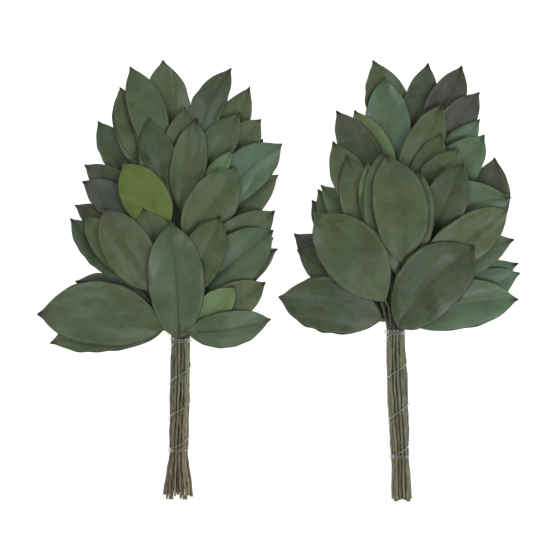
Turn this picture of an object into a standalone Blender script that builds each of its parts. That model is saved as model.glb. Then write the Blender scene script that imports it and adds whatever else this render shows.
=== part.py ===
"""A pair of preserved sakaki branches: two flat bunches of leafy sprigs, each tied round its bare stems.

Each bunch lies on its back with its stems towards -Y and its leaf tips towards +Y. The sprigs are laid one
after another, from the back ones to the front ones, and each leaf comes to rest on what already lies there,
so the leaves overlap like shingles. Sizes are in millimetres until a mesh is made, which is in metres.
"""

import math
from dataclasses import dataclass

import bmesh
import bpy
import numpy as np

# Driving dimensions of a bunch
STEM_RADIUS = 0.85
TWIG_RADIUS = 0.62
STEM_PITCH = 2.0
THREAD_RADIUS = 0.35
THREAD_SLACK = 0.2
GAP = 0.3
BLADE_THICKNESS = 0.74
PAIR_SPACING = 135.2
PAIR_STEP = 5.1

# The bundle of stems: how many lie in each layer, from the back layer to the front one
LAYERS = (4, 5, 6, 5, 4)
LAYER_HEIGHT = STEM_PITCH * math.sqrt(3) / 2
BUNDLE_HEIGHT = 6.0
FREE_FROM = 3.0

# A leaf blade: its stalk, the length of its lens outline and its drawn-out tip, as shares of its length
STALK_SHARE = 0.07
BLADE_SHARE = 0.955
LENS_POWER = 0.62
STALK_HALF_WIDTH = 0.45
TIP_HALF_WIDTH = 0.3
BLADE_STATIONS = (0.0, 0.10, 0.27, 0.48, 0.70, 0.90, 1.0)

# How a leaf sinks on to the pile: its fall in each step, its stiffness, and its steepest slopes
FALL_STEPS = 70
FALL = 0.35
STIFFNESS = 0.5
CROSS_STIFFNESS = 0.9
STEEPEST_CLIMB = 0.60
STEEPEST_FALL = 0.40
STEEPEST_ROLL = 0.25
SETTLE_ROUNDS = 6

# How steeply a stem may climb and fall, its straight runs, and below which length it is one run
STEM_CLIMB = 0.45
STEM_FALL = 0.22
STEM_RUN = 20.0
SHORT_STEM = 14.0

# How finely a blade is sampled while it comes to rest, and the share of its samples used as it sinks
FINE_ALONG = 150
FINE_ACROSS = 61
SINK_EVERY = 2

# The grid of heights on which the leaves come to rest
GRID_CELL = 0.5
GRID_WEST = -110.0
GRID_SOUTH = -40.0
GRID_COLUMNS = 440
GRID_ROWS = 480

# Leaf tones
MID = (0.100, 0.150, 0.085)
OLIVE = (0.125, 0.145, 0.075)
TEAL = (0.110, 0.185, 0.130)
BLUE = (0.095, 0.140, 0.110)
SLATE = (0.095, 0.110, 0.095)
BROWN = (0.105, 0.100, 0.070)
LIME = (0.200, 0.270, 0.060)
PALE = (0.180, 0.250, 0.130)
DEEP = (0.080, 0.120, 0.068)


@dataclass(frozen=True)
class Leaf:
    """One leaf: its tip's place, how far up the sprig its stalk starts, its width, its tone, and its bow.

    The bow is how far the leaf's middle lies to the left of its line from root to tip, as a share of its length.
    """

    tip: tuple[float, float]
    root: float
    width: float
    tone: tuple[float, float, float]
    bow: float = 0.0
    fold: float | None = None
    flat: bool = False


@dataclass(frozen=True)
class Sprig:
    """One leafy stem: its layer and place in the bundle, where it ends, and its leaves from back to front."""

    layer: int
    place: int
    end: tuple[float, float]
    leaves: tuple[Leaf, ...]


LEFT_SPRIGS = (
    Sprig(0, 1, (-9, 119), (
        Leaf((-28, 118), 58, 26, MID, flat=True),
        Leaf((2, 66), 12, 26, MID),
        Leaf((4, 104), 46, 22, MID),
        Leaf((-45, 70), 32, 28, SLATE),
        Leaf((-12, 177), 118, 28, MID, bow=-0.04),
    )),
    Sprig(0, 0, (-25, 108), (
        Leaf((-44, 44), 10, 26, OLIVE),
        Leaf((-53, 138), 92, 22, DEEP),
        Leaf((-40, 157), 107, 20, MID),
    )),
    Sprig(0, 2, (8, 119), (
        Leaf((34, 112), 60, 26, OLIVE),
        Leaf((44, 160), 104, 22, OLIVE, bow=-0.03),
        Leaf((32, 172), 118, 21, DEEP, bow=0.06),
    )),
    Sprig(0, 3, (21, 102), (
        Leaf((40, 40), 10, 24, OLIVE),
        Leaf((48, 64), 30, 28, SLATE),
        Leaf((52, 127), 82, 20, MID),
        Leaf((50, 140), 101, 22, MID),
    )),
    Sprig(1, 0, (-24, 112), (
        Leaf((-61, 111), 78, 21, BROWN),
        Leaf((-38, 160), 111, 21, OLIVE),
    )),
    Sprig(1, 1, (-13, 114), (
        Leaf((-32, 173), 113, 24, MID, bow=-0.03),
    )),
    Sprig(1, 2, (-5, 84), (
        Leaf((3, 147), 82, 22, MID),
    )),
    Sprig(1, 3, (6, 96), (
        Leaf((37, 144), 95, 23, MID),
    )),
    Sprig(1, 4, (21, 83), (
        Leaf((61, 105), 64, 23, MID),
        Leaf((64, 124), 82, 28, TEAL, bow=0.05),
    )),
    Sprig(2, 0, (-34, 39), (
        Leaf((-67, 37), 24, 21, SLATE),
        Leaf((-70, 77), 38, 20, BLUE, fold=0.55),
    )),
    Sprig(2, 1, (-23, 74), (
        Leaf((-67, 86), 56, 20, BROWN),
        Leaf((-62, 101), 73, 22, SLATE),
    )),
    Sprig(2, 2, (-9, 84), (
        Leaf((-20, 140), 82, 24, DEEP),
    )),
    Sprig(2, 3, (-1, 80), (
        Leaf((33, 120), 72, 15, PALE),
        Leaf((10, 140), 78, 23, MID),
    )),
    Sprig(2, 4, (2, 64), (
        Leaf((35, 109), 60, 31, MID),
    )),
    Sprig(2, 5, (13, 51), (
        Leaf((59, 64), 32, 22, SLATE),
        Leaf((60, 81), 50, 25, MID),
    )),
    Sprig(3, 1, (-8, 70), (
        Leaf((-36, 112), 69, 30, LIME),
        Leaf((-24, 83), 27, 30, OLIVE),
    )),
    Sprig(3, 0, (-21, 37), (
        Leaf((-61, 78), 36, 23, OLIVE),
        Leaf((-49, 83), 29, 31, OLIVE),
    )),
    Sprig(3, 4, (12, 20), (
        Leaf((61, 58), 19, 23, SLATE, bow=0.05),
    )),
    Sprig(3, 3, (8, 31), (
        Leaf((58, 70), 30, 32, BLUE),
    )),
    Sprig(3, 2, (3, 26), (
        Leaf((25, 78), 25, 27, MID),
    )),
    Sprig(4, 0, (-11, 9), (
        Leaf((-83, -2), 7, 28, MID, bow=-0.05),
        Leaf((-91, 16), 7, 41, MID, bow=-0.06),
    )),
    Sprig(4, 3, (9, 11), (
        Leaf((54, 36), 10, 24, MID),
        Leaf((35, 33), 8, 20, PALE),
    )),
    Sprig(4, 2, (5, 9), (
        Leaf((57, 14), 5, 23, BLUE, bow=-0.05),
    )),
    Sprig(4, 1, (-1, 6), (
        Leaf((-6, 75), 5, 36, BLUE),
    )),
)

RIGHT_SPRIGS = (
    Sprig(0, 0, (-2, 109), (
        Leaf((-30, 106), 50, 26, MID, flat=True),
        Leaf((3, 66), 12, 28, BROWN),
        Leaf((-34, 46), 10, 26, SLATE),
        Leaf((-45, 58), 24, 28, SLATE),
        Leaf((-13, 172), 108, 28, OLIVE, bow=-0.06),
    )),
    Sprig(0, 1, (10, 106), (
        Leaf((30, 108), 56, 26, MID),
        Leaf((21, 170), 105, 24, BROWN),
    )),
    Sprig(0, 2, (19, 115), (
        Leaf((43, 168), 114, 24, SLATE),
        Leaf((53, 152), 98, 24, SLATE),
        Leaf((54, 134), 92, 19, TEAL),
    )),
    Sprig(0, 3, (47, 52), (
        Leaf((50, 64), 24, 28, SLATE),
        Leaf((64, 110), 51, 30, BROWN, bow=-0.03),
    )),
    Sprig(1, 0, (-18, 43), (
        Leaf((-53, 83), 36, 24, BROWN),
        Leaf((-49, 90), 42, 23, MID),
    )),
    Sprig(1, 1, (-2, 104), (
        Leaf((-47, 93), 44, 22, BLUE),
        Leaf((-7, 161), 97, 29, TEAL),
    )),
    Sprig(1, 2, (-1, 91), (
        Leaf((-26, 140), 90, 23, PALE),
    )),
    Sprig(1, 3, (3, 85), (
        Leaf((29, 144), 83, 25, OLIVE),
    )),
    Sprig(1, 4, (19, 81), (
        Leaf((57, 124), 80, 28, TEAL),
    )),
    Sprig(2, 0, (-14, 31), (
        Leaf((-64, 62), 30, 25, SLATE, bow=0.05),
        Leaf((-62, 52), 24, 26, DEEP),
    )),
    Sprig(2, 1, (-11, 81), (
        Leaf((-37, 140), 80, 25, BROWN, bow=-0.06),
        Leaf((-40, 120), 58, 25, OLIVE),
    )),
    Sprig(2, 2, (-6, 46), (
        Leaf((-31, 111), 40, 28, MID),
        Leaf((-18, 107), 45, 19, PALE),
    )),
    Sprig(2, 3, (6, 71), (
        Leaf((29, 125), 70, 22, OLIVE),
    )),
    Sprig(2, 4, (8, 74), (
        Leaf((40, 115), 73, 23, OLIVE),
    )),
    Sprig(2, 5, (16, 53), (
        Leaf((73, 85), 56, 36, TEAL, bow=0.12),
        Leaf((42, 106), 52, 28, DEEP),
    )),
    Sprig(3, 0, (-8, 12), (
        Leaf((-74, 21), 7, 36, DEEP, bow=-0.04),
    )),
    Sprig(3, 1, (-2, 38), (
        Leaf((-10, 114), 37, 29, MID),
    )),
    Sprig(3, 2, (2, 31), (
        Leaf((15, 102), 30, 30, MID),
    )),
    Sprig(3, 4, (16, 15), (
        Leaf((78, 44), 12, 23, TEAL),
        Leaf((79, 38), 14, 26, TEAL, bow=-0.04),
    )),
    Sprig(3, 3, (11, 38), (
        Leaf((75, 59), 25, 26, BLUE, bow=0.04),
        Leaf((72, 78), 37, 29, MID),
    )),
    Sprig(4, 3, (8, 9), (
        Leaf((78, 21), 5, 31, TEAL, bow=0.04),
    )),
    Sprig(4, 0, (-5, 18), (
        Leaf((-51, 75), 17, 40, MID, bow=-0.03),
    )),
    Sprig(4, 1, (4, 42), (
        Leaf((-6, 112), 41, 35, MID, bow=-0.05),
    )),
    Sprig(4, 2, (4, 7), (
        Leaf((50, 54), 6, 42, DEEP, bow=0.08),
    )),
)


@dataclass(frozen=True)
class Bunch:
    """One bunch of the pair: its sprigs, the length of its bare stems, and how far apart its ties are.

    Down the bare stems it leans to one side, swells between its ties, spreads at the cut ends and sways. Its
    cut ends are more or less ragged.
    """

    name: str
    sprigs: tuple[Sprig, ...]
    handle: float
    tie_spacing: float
    lean: float
    swell: float
    spread: float
    sway: float
    ragged: float
    seed: int


LEFT_BUNCH = Bunch("left", LEFT_SPRIGS, handle=101.0, tie_spacing=69.0, lean=-0.018,
                   swell=0.06, spread=0.75, sway=0.30, ragged=4.5, seed=11)
RIGHT_BUNCH = Bunch("right", RIGHT_SPRIGS, handle=107.0, tie_spacing=78.0, lean=0.038,
                    swell=0.16, spread=0.15, sway=-0.30, ragged=2.0, seed=23)


def slot_of(sprig):
    """Where a sprig's stem crosses the tie: across the bundle, and its height above the bundle's middle."""
    across = (sprig.place - (LAYERS[sprig.layer] - 1) / 2) * STEM_PITCH
    middle_layer = (len(LAYERS) - 1) / 2
    return across, (sprig.layer - middle_layer) * LAYER_HEIGHT


def smooth_step(value):
    value = min(max(value, 0.0), 1.0)
    return value * value * (3 - 2 * value)


def handle_point(bunch, slot, y):
    """The centre of a bare stem at y, below the upper tie."""
    across, height = slot
    down = max(-y, 0.0)
    swell = bunch.swell * math.sin(math.pi * min(down / bunch.tie_spacing, 1.0))
    spread = bunch.spread * smooth_step((down - bunch.tie_spacing) / (bunch.handle - bunch.tie_spacing))
    slide = bunch.sway * math.sin(math.pi * down / (bunch.tie_spacing * 0.7)) * height / LAYER_HEIGHT
    x = bunch.lean * down + across * (1 + swell + spread) + slide
    return x, BUNDLE_HEIGHT + height * (1 + min(swell, 0.06))


class Pile:
    """The heights of what lies on the surface so far, with the gap that the next piece keeps to it."""

    def __init__(self):
        self.leaves = np.zeros((GRID_COLUMNS, GRID_ROWS))
        self.stems = np.zeros((GRID_COLUMNS, GRID_ROWS))
        self.stem_points = np.zeros((0, 3))

    def cells(self, x, y):
        column = np.floor((x - GRID_WEST) / GRID_CELL).astype(int)
        row = np.floor((y - GRID_SOUTH) / GRID_CELL).astype(int)
        return column, row

    def widened(self, heights):
        """The grid with every height also in the cells around it."""
        wide = heights.copy()
        for columns in (-1, 0, 1):
            for rows in (-1, 0, 1):
                wide = np.maximum(wide, np.roll(heights, (columns, rows), axis=(0, 1)))
        return wide

    def stem_floor(self, x, y):
        """The lowest height for the centre of a stem at each point."""
        floor = np.full(len(x), STEM_RADIUS)
        wide = self.widened(self.leaves)
        for side in np.linspace(-STEM_RADIUS, STEM_RADIUS, 5):
            for along in np.linspace(-0.5, 0.5, 3):
                column, row = self.cells(x + side, y + along)
                floor = np.maximum(floor, wide[column, row] + STEM_RADIUS)
        if len(self.stem_points):
            apart = 2 * STEM_RADIUS + 0.2
            dx = x[:, None] - self.stem_points[None, :, 0]
            dy = y[:, None] - self.stem_points[None, :, 1]
            room = apart**2 - dx**2 - dy**2
            above = self.stem_points[None, :, 2] + np.sqrt(np.maximum(room, 0.0))
            floor = np.maximum(floor, np.where(room > 0, above, 0.0).max(axis=1))
        return floor

    def add_leaf(self, heights, blade):
        column, row = self.cells(blade.x, blade.y)
        np.maximum.at(heights, (column, row), blade.z + BLADE_THICKNESS / 2 + GAP)

    def add_stem(self, points):
        self.stem_points = np.vstack([self.stem_points, points])
        for side in np.linspace(-STEM_RADIUS, STEM_RADIUS, 5):
            column, row = self.cells(points[:, 0] + side, points[:, 1])
            np.maximum.at(self.stems, (column, row), points[:, 2] + STEM_RADIUS + GAP)


def net_weights(every):
    """The share of each corner of a blade's net in each sample of its facets, and the samples' s and t."""
    s = np.linspace(0, 1, FINE_ALONG)[::every]
    t = np.linspace(-1, 1, FINE_ACROSS)[::every]
    s, t = (values.ravel() for values in np.meshgrid(s, t, indexing="ij"))
    stations = np.array(BLADE_STATIONS)
    row = np.clip(np.searchsorted(stations, s, side="right") - 1, 0, len(stations) - 2)
    along = (s - stations[row]) / (stations[row + 1] - stations[row])
    column = np.where(t < 0, 0, 1)
    across = t + 1 - column
    outward = np.where(column == 0, 1 - across, across)
    near = np.where(outward <= along, 1 - along, 1 - outward)
    far = np.where(outward <= along, along - outward, 0.0)
    near_edge = np.where(outward <= along, 0.0, outward - along)
    far_edge = np.where(outward <= along, outward, along)
    weights = np.zeros((len(s), len(stations) * 3))
    order = np.arange(len(s))
    edge = np.where(column == 0, 0, 2)
    weights[order, row * 3 + 1] = near
    weights[order, (row + 1) * 3 + 1] = far
    weights[order, row * 3 + edge] = near_edge
    weights[order, (row + 1) * 3 + edge] = far_edge
    return weights


FINE_WEIGHTS = net_weights(1)
SINK_WEIGHTS = net_weights(SINK_EVERY)
SINK_SHARES = SINK_WEIGHTS / (SINK_WEIGHTS**2).sum(axis=1)[:, None]
SIBLING_REACH = FINE_WEIGHTS @ np.repeat(BLADE_STATIONS, 3) > 0.15


class Blade:
    """A leaf blade: a net of corners from its root at s = 0 to its tip at s = 1, with two edges and a midrib."""

    def __init__(self, leaf, root, draw):
        self.leaf = leaf
        self.root = np.array(root)
        tip = np.array(leaf.tip, dtype=float)
        self.length = float(np.linalg.norm(tip - self.root))
        self.forward = (tip - self.root) / self.length
        self.left = np.array((-self.forward[1], self.forward[0]))
        self.fold = draw.uniform(0.04, 0.20) if leaf.fold is None else leaf.fold
        self.arch = draw.uniform(-0.5, 2.0)
        self.twist = draw.uniform(-0.08, 0.08)
        self.sway = (leaf.bow + draw.uniform(-0.015, 0.015)) * self.length
        if leaf.flat:
            self.fold = 0.0
            self.arch = 0.0
            self.twist = 0.0
        self.root_height = 0.0
        self.s, self.t = np.meshgrid(BLADE_STATIONS, (-1.0, 0.0, 1.0), indexing="ij")
        self.net_x, self.net_y = self.plan(self.s, self.t)
        self.own = self.own_shape(self.s, self.t)
        self.net_z = self.own.copy()
        self.x = FINE_WEIGHTS @ self.net_x.ravel()
        self.y = FINE_WEIGHTS @ self.net_y.ravel()
        self.z = FINE_WEIGHTS @ self.net_z.ravel()

    def half_width(self, s):
        q = np.clip((s - STALK_SHARE) / (BLADE_SHARE - STALK_SHARE), 0, 1)
        lens = self.leaf.width / 2 * (4 * q * (1 - q)) ** LENS_POWER
        return np.maximum(lens, STALK_HALF_WIDTH + (TIP_HALF_WIDTH - STALK_HALF_WIDTH) * s)

    def plan(self, s, t):
        along = s * self.length
        side = t * self.half_width(s) + self.sway * 4 * s * (1 - s)
        x = self.root[0] + self.forward[0] * along + self.left[0] * side
        y = self.root[1] + self.forward[1] * along + self.left[1] * side
        return x, y

    def own_shape(self, s, t):
        across = t * self.half_width(s)
        body = np.clip((s - STALK_SHARE) / 0.15, 0, 1)
        folded = self.fold * np.abs(across) * body
        return folded + self.arch * 4 * s * (1 - s) + self.twist * (s - 0.3) * across

    def limit_slopes(self, lie):
        """Hold the blade's own level to its steepest climb, fall and roll, from the root to the tip."""
        half = self.half_width(self.s)
        middle = lie.mean(axis=1)
        runs = np.diff(BLADE_STATIONS) * self.length
        for place, run in enumerate(runs, start=1):
            change = middle[place] - middle[place - 1]
            kept = min(max(change, -STEEPEST_FALL * run), STEEPEST_CLIMB * run)
            lie[place:] += kept - change
            middle[place:] += kept - change
        roll = np.clip((lie[:, 2] - lie[:, 0]) / 2, -STEEPEST_ROLL * half[:, 0], STEEPEST_ROLL * half[:, 0])
        spare = (lie[:, 2] - lie[:, 0]) / 2 - roll
        lie[:, 2] -= spare
        lie[:, 0] += spare

    def bend_back(self, lie):
        """Draw each corner towards the line of its neighbours along the blade and across it."""
        stations = np.array(BLADE_STATIONS)
        share = ((stations[1:-1] - stations[:-2]) / (stations[2:] - stations[:-2]))[:, None]
        off = lie[1:-1] - (1 - share) * lie[:-2] - share * lie[2:]
        lie[1:-1] -= STIFFNESS * 0.5 * off
        lie[:-2] += STIFFNESS * 0.5 * (1 - share) * off
        lie[2:] += STIFFNESS * 0.5 * share * off
        off = lie[:, 1] - (lie[:, 0] + lie[:, 2]) / 2
        lie[:, 1] -= CROSS_STIFFNESS * 0.5 * off
        lie[:, 0] += CROSS_STIFFNESS * 0.5 * off
        lie[:, 2] += CROSS_STIFFNESS * 0.5 * off

    def rest(self, ground):
        """Sink on to the ground with the root held on its stem; returns how far the stem must rise."""
        if self.leaf.flat:
            level = np.full(self.own.shape, BLADE_THICKNESS / 2)
            level[0] = self.root_height
            level[1] = (self.root_height + 2 * level[1]) / 3
            self.net_z = level
            self.z = FINE_WEIGHTS @ self.net_z.ravel()
            return 0.0
        need = ground + BLADE_THICKNESS / 2
        sink_need = need.reshape(FINE_ALONG, FINE_ACROSS)[::SINK_EVERY, ::SINK_EVERY].ravel()
        own = self.own
        lie = np.full(own.shape, self.root_height)
        for step in range(FALL_STEPS):
            fall = FALL * (1 - step / FALL_STEPS)
            lie[1:] -= fall
            self.bend_back(lie)
            lie[0] = self.root_height
            self.limit_slopes(lie)
            lack = sink_need - SINK_WEIGHTS @ (lie + own).ravel()
            push = np.maximum(lack, 0.0)[:, None] * SINK_SHARES
            lie += push.max(axis=0).reshape(own.shape)
            lie[0] = self.root_height
        held = FINE_WEIGHTS[:, :3].sum(axis=1)
        lack = need - FINE_WEIGHTS @ (lie + own).ravel()
        free = held < 0.7
        lift = max(float((lack[free] / (1 - held[free])).max()), 0.0)
        lie[1:] += lift
        self.net_z = lie + own
        self.z = FINE_WEIGHTS @ self.net_z.ravel()
        short = max(float((need - self.z)[~free].max()), 0.0)
        climb = lie[1:, 1] - self.root_height - STEEPEST_CLIMB * self.s[1:, 1] * self.length
        return max(short, float(climb.max()), 0.0)


def stem_course(sprig, slot_x, y):
    """Where a stem runs in plan above the tie: straight up at first, then out to its end."""
    share = np.clip((y - FREE_FROM) / (sprig.end[1] - FREE_FROM), 0, 1)
    return slot_x + (sprig.end[0] - slot_x) * share**1.4


def taut_heights(y, floor, start):
    """The upper hull over the floor, as a thread drawn tight over it from the tie to the sprig's end."""
    points = [(float(y[0]), start)]
    for place, height in zip(y[1:], floor[1:]):
        point = (float(place), float(height))
        while len(points) > 1:
            (y0, z0), (y1, z1) = points[-2], points[-1]
            if (z1 - z0) * (point[0] - y0) > (point[1] - z0) * (y1 - y0):
                break
            points.pop()
        points.append(point)
    heights = np.interp(y, [p[0] for p in points], [p[1] for p in points])
    for place in range(1, len(y)):
        heights[place] = max(heights[place], heights[place - 1] - STEM_FALL * (y[place] - y[place - 1]))
    for place in range(len(y) - 2, 0, -1):
        heights[place] = max(heights[place], heights[place + 1] - STEM_CLIMB * (y[place + 1] - y[place]))
    return heights


def coarse_heights(y, heights, floor, stations):
    """Heights at the stations whose straight runs stay over the floor, as far as the tie lets them climb."""
    z = np.interp(stations, y, heights)
    for _ in range(60):
        lacking = floor - np.interp(y, stations, z)
        lacking[0] = 0.0
        worst = int(np.argmax(lacking))
        if lacking[worst] < 0.005:
            break
        after = int(np.clip(np.searchsorted(stations, y[worst]), 1, len(stations) - 1))
        z[after] += lacking[worst] + 0.01
        if after > 1:
            z[after - 1] += lacking[worst]
    return np.minimum(z, z[0] + 0.9 * (stations - stations[0]))


def lay_sprig(sprig, bunch, pile, draw):
    """Lay one sprig on the pile: its stem's course above the tie, and its blades where they come to rest."""
    slot = slot_of(sprig)
    start = BUNDLE_HEIGHT + slot[1]
    y = np.linspace(FREE_FROM, sprig.end[1], max(int(sprig.end[1] - FREE_FROM), 3) + 1)
    x = stem_course(sprig, slot[0], y)
    floor = pile.stem_floor(x, y)
    steps = max(2, round((sprig.end[1] - FREE_FROM) / STEM_RUN))
    if sprig.end[1] < SHORT_STEM:
        steps = 1
    stations = np.linspace(FREE_FROM, sprig.end[1], steps + 1)
    blades = []
    for leaf in sprig.leaves:
        root_y = min(leaf.root, sprig.end[1] - 1.5)
        blades.append(Blade(leaf, (float(np.interp(root_y, y, x)), root_y), draw))
    settled = np.maximum(pile.widened(pile.leaves), pile.widened(pile.stems))
    for _ in range(SETTLE_ROUNDS):
        z = coarse_heights(y, taut_heights(y, floor, start), floor, stations)
        raised = False
        for blade in blades:
            blade.root_height = float(np.interp(blade.root[1], stations, z))
            lack = blade.rest(settled[pile.cells(blade.x, blade.y)])
            if lack > 0.05:
                near = int(np.argmin(np.abs(y - blade.root[1])))
                floor[near] = float(np.interp(y[near], stations, z)) + lack
                raised = True
        if not raised:
            break
    heights = pile.leaves.copy()
    for blade in blades:
        cells = pile.cells(blade.x, blade.y)
        beside = np.where(SIBLING_REACH, pile.widened(heights)[cells], 0.0)
        blade.rest(np.maximum(settled[cells], beside))
        pile.add_leaf(heights, blade)
    pile.leaves = heights
    fine = np.linspace(0, sprig.end[1], int(sprig.end[1] / GRID_CELL) + 2)
    fine_x = stem_course(sprig, slot[0], fine)
    fine_z = np.interp(fine, stations, z)
    pile.add_stem(np.column_stack([fine_x, fine, fine_z]))
    course = [(float(stem_course(sprig, slot[0], np.array(place))), float(place), float(height))
              for place, height in zip(stations, z)]
    return course, blades


def leaf_material(name, tone):
    material = bpy.data.materials.new(name)
    material.use_nodes = True
    shader = material.node_tree.nodes["Principled BSDF"]
    shader.inputs["Base Color"].default_value = (*tone, 1.0)
    shader.inputs["Roughness"].default_value = 0.55
    shader.inputs["Metallic"].default_value = 0.0
    return material


def tube_object(name, points, radii, bevel_resolution=1):
    """A closed tube along points in millimetres."""
    curve = bpy.data.curves.new(name, "CURVE")
    curve.dimensions = "3D"
    curve.bevel_depth = 0.001
    curve.bevel_resolution = bevel_resolution
    curve.use_fill_caps = True
    spline = curve.splines.new("POLY")
    spline.points.add(len(points) - 1)
    for point, place, radius in zip(spline.points, points, radii):
        point.co = (place[0] / 1000, place[1] / 1000, place[2] / 1000, 1.0)
        point.radius = radius
    tube = bpy.data.objects.new(name, curve)
    bpy.context.scene.collection.objects.link(tube)
    mesh = bpy.data.meshes.new_from_object(tube.evaluated_get(bpy.context.evaluated_depsgraph_get()))
    bpy.data.objects.remove(tube)
    joined = bmesh.new()
    joined.from_mesh(mesh)
    bmesh.ops.remove_doubles(joined, verts=joined.verts, dist=1e-6)
    bmesh.ops.recalc_face_normals(joined, faces=joined.faces)
    joined.to_mesh(mesh)
    joined.free()
    mesh.name = name
    return bpy.data.objects.new(name, mesh)


def blade_object(name, blade):
    """A leaf as a thin solid: one sheet over the blade's net of corners, drawn down to its thickness."""
    sheet = bmesh.new()
    corners = []
    for x, y, z in zip(blade.net_x, blade.net_y, blade.net_z + BLADE_THICKNESS / 2):
        corners.append([sheet.verts.new((x[k] / 1000, y[k] / 1000, z[k] / 1000)) for k in range(3)])
    for near, far in zip(corners, corners[1:]):
        for edge in (0, 2):
            sheet.faces.new((near[1], far[1], far[edge]))
            sheet.faces.new((near[1], far[edge], near[edge]))
    drawn = bmesh.ops.extrude_face_region(sheet, geom=sheet.faces[:])
    lower = [item for item in drawn["geom"] if isinstance(item, bmesh.types.BMVert)]
    bmesh.ops.translate(sheet, verts=lower, vec=(0, 0, -BLADE_THICKNESS / 1000))
    bmesh.ops.recalc_face_normals(sheet, faces=sheet.faces)
    mesh = bpy.data.meshes.new(name)
    sheet.to_mesh(mesh)
    sheet.free()
    return bpy.data.objects.new(name, mesh)


def join_all(body, parts):
    """Fuse the parts into the body with one Boolean union on a collection."""
    collection = bpy.data.collections.new(body.name + "_leaves")
    bpy.context.scene.collection.children.link(collection)
    for part in parts:
        collection.objects.link(part)
    union = body.modifiers.new("leaves", "BOOLEAN")
    union.operation = "UNION"
    union.operand_type = "COLLECTION"
    union.collection = collection
    union.solver = "EXACT"
    graph = bpy.context.evaluated_depsgraph_get()
    fused = bpy.data.meshes.new_from_object(body.evaluated_get(graph))
    body.modifiers.clear()
    body.data = fused
    for part in parts:
        bpy.data.objects.remove(part)
    bpy.data.collections.remove(collection)


def build_sprig(bunch, number, sprig, course, blades, cut):
    """The sprig's solid: its bare stem below the tie, its run into the leaves, and its leaves."""
    slot = slot_of(sprig)
    points = []
    for y in (cut, -bunch.tie_spacing, -bunch.tie_spacing / 2, 0.0):
        x, z = handle_point(bunch, slot, y)
        points.append((x, y, z))
    points += course
    total = course[-1][1]
    radii = []
    for _, y, _ in points:
        share = min(max(y / total, 0.0), 1.0)
        radii.append(STEM_RADIUS + (TWIG_RADIUS - STEM_RADIUS) * share)
    name = f"{bunch.name}_sprig_{number:02d}"
    body = tube_object(name, points, radii)
    bpy.context.scene.collection.objects.link(body)
    join_all(body, [blade_object(f"{name}_leaf_{k}", blade) for k, blade in enumerate(blades)])
    body.data.materials.clear()
    body.data.materials.append(leaf_material(name, sprig.leaves[-1].tone))
    return body


def thread_point(bunch, turn, y):
    """A point of the tie thread, drawn tight round the bundle, at an angle given in turns."""
    angle = 2 * math.pi * turn
    out = np.array((math.cos(angle), math.sin(angle)))
    places = np.array([handle_point(bunch, slot_of(sprig), y) for sprig in bunch.sprigs])
    outermost = places[int(np.argmax(places @ out))]
    x, z = outermost + out * (STEM_RADIUS + GAP + THREAD_SLACK + THREAD_RADIUS)
    return float(x), y, float(z)


def build_thread(bunch):
    """One clear thread: close turns at the upper tie, an open winding down the stems, close turns again."""
    close_pitch = 2 * THREAD_RADIUS + 0.25
    upper_turns = 3.0
    open_turns = 3.0
    lower_turns = 2.5
    steps_a_turn = 9
    top = 1.4
    upper_end = top - upper_turns * close_pitch
    lower_start = -bunch.tie_spacing + close_pitch
    turns = np.array((0, upper_turns, upper_turns + open_turns, upper_turns + open_turns + lower_turns))
    heights = np.array((top, upper_end, lower_start, lower_start - lower_turns * close_pitch))
    count = int(turns[-1] * steps_a_turn) + 1
    points = []
    for turn in np.linspace(0, turns[-1], count):
        points.append(thread_point(bunch, 0.25 + float(turn), float(np.interp(turn, turns, heights))))
    thread = tube_object(f"{bunch.name}_thread", points, [THREAD_RADIUS] * len(points), 0)
    bpy.context.scene.collection.objects.link(thread)
    material = leaf_material(thread.name, (0.75, 0.78, 0.76))
    material.node_tree.nodes["Principled BSDF"].inputs["Roughness"].default_value = 0.2
    thread.data.materials.append(material)
    return thread


def build_bunch(bunch):
    """All of one bunch, with its tie's middle above the origin, under one empty."""
    draw = np.random.default_rng(bunch.seed)
    pile = Pile()
    pieces = []
    for number, sprig in enumerate(bunch.sprigs, start=1):
        course, blades = lay_sprig(sprig, bunch, pile, draw)
        cut = -bunch.handle + float(draw.uniform(0.0, bunch.ragged))
        pieces.append(build_sprig(bunch, number, sprig, course, blades, cut))
    pieces.append(build_thread(bunch))
    holder = bpy.data.objects.new(f"{bunch.name}_bunch", None)
    bpy.context.scene.collection.objects.link(holder)
    for piece in pieces:
        piece.parent = holder
    return holder, pieces


def set_pair(holders, pieces):
    """Lay the two bunches side by side, with the middle of the pair's box over the origin."""
    left, right = holders
    left.location = (-PAIR_SPACING / 2000, 0, 0)
    right.location = (PAIR_SPACING / 2000, PAIR_STEP / 1000, 0)
    bpy.context.view_layer.update()
    corners = []
    for piece in pieces:
        places = np.array([piece.matrix_world @ vertex.co for vertex in piece.data.vertices])
        corners += [places.min(axis=0), places.max(axis=0)]
    low = np.min(corners, axis=0)
    high = np.max(corners, axis=0)
    middle = (low + high) / 2
    for holder in holders:
        holder.location.x -= float(middle[0])
        holder.location.y -= float(middle[1])
        holder.location.z -= float(low[2])


def main():
    for thing in list(bpy.data.objects):
        bpy.data.objects.remove(thing)
    left, left_pieces = build_bunch(LEFT_BUNCH)
    right, right_pieces = build_bunch(RIGHT_BUNCH)
    set_pair((left, right), left_pieces + right_pieces)


main()
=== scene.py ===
"""The pair of preserved sakaki branches, dressed for a photograph taken from straight above.

Each bunch is laid again in the way its solids were laid: sprig after sprig, from the back ones to the
front ones, with each leaf sinking on to what already lies there. The leaves and stems are then made finely
over that layout: blades with a midrib, side veins, drawn-out dark tips and soft waves, stems of bark with
knots and cut ends, and the clear thread. Sizes are in millimetres until a mesh is made, which is in metres.
"""

import logging
import math
from dataclasses import dataclass
from enum import Enum

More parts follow.
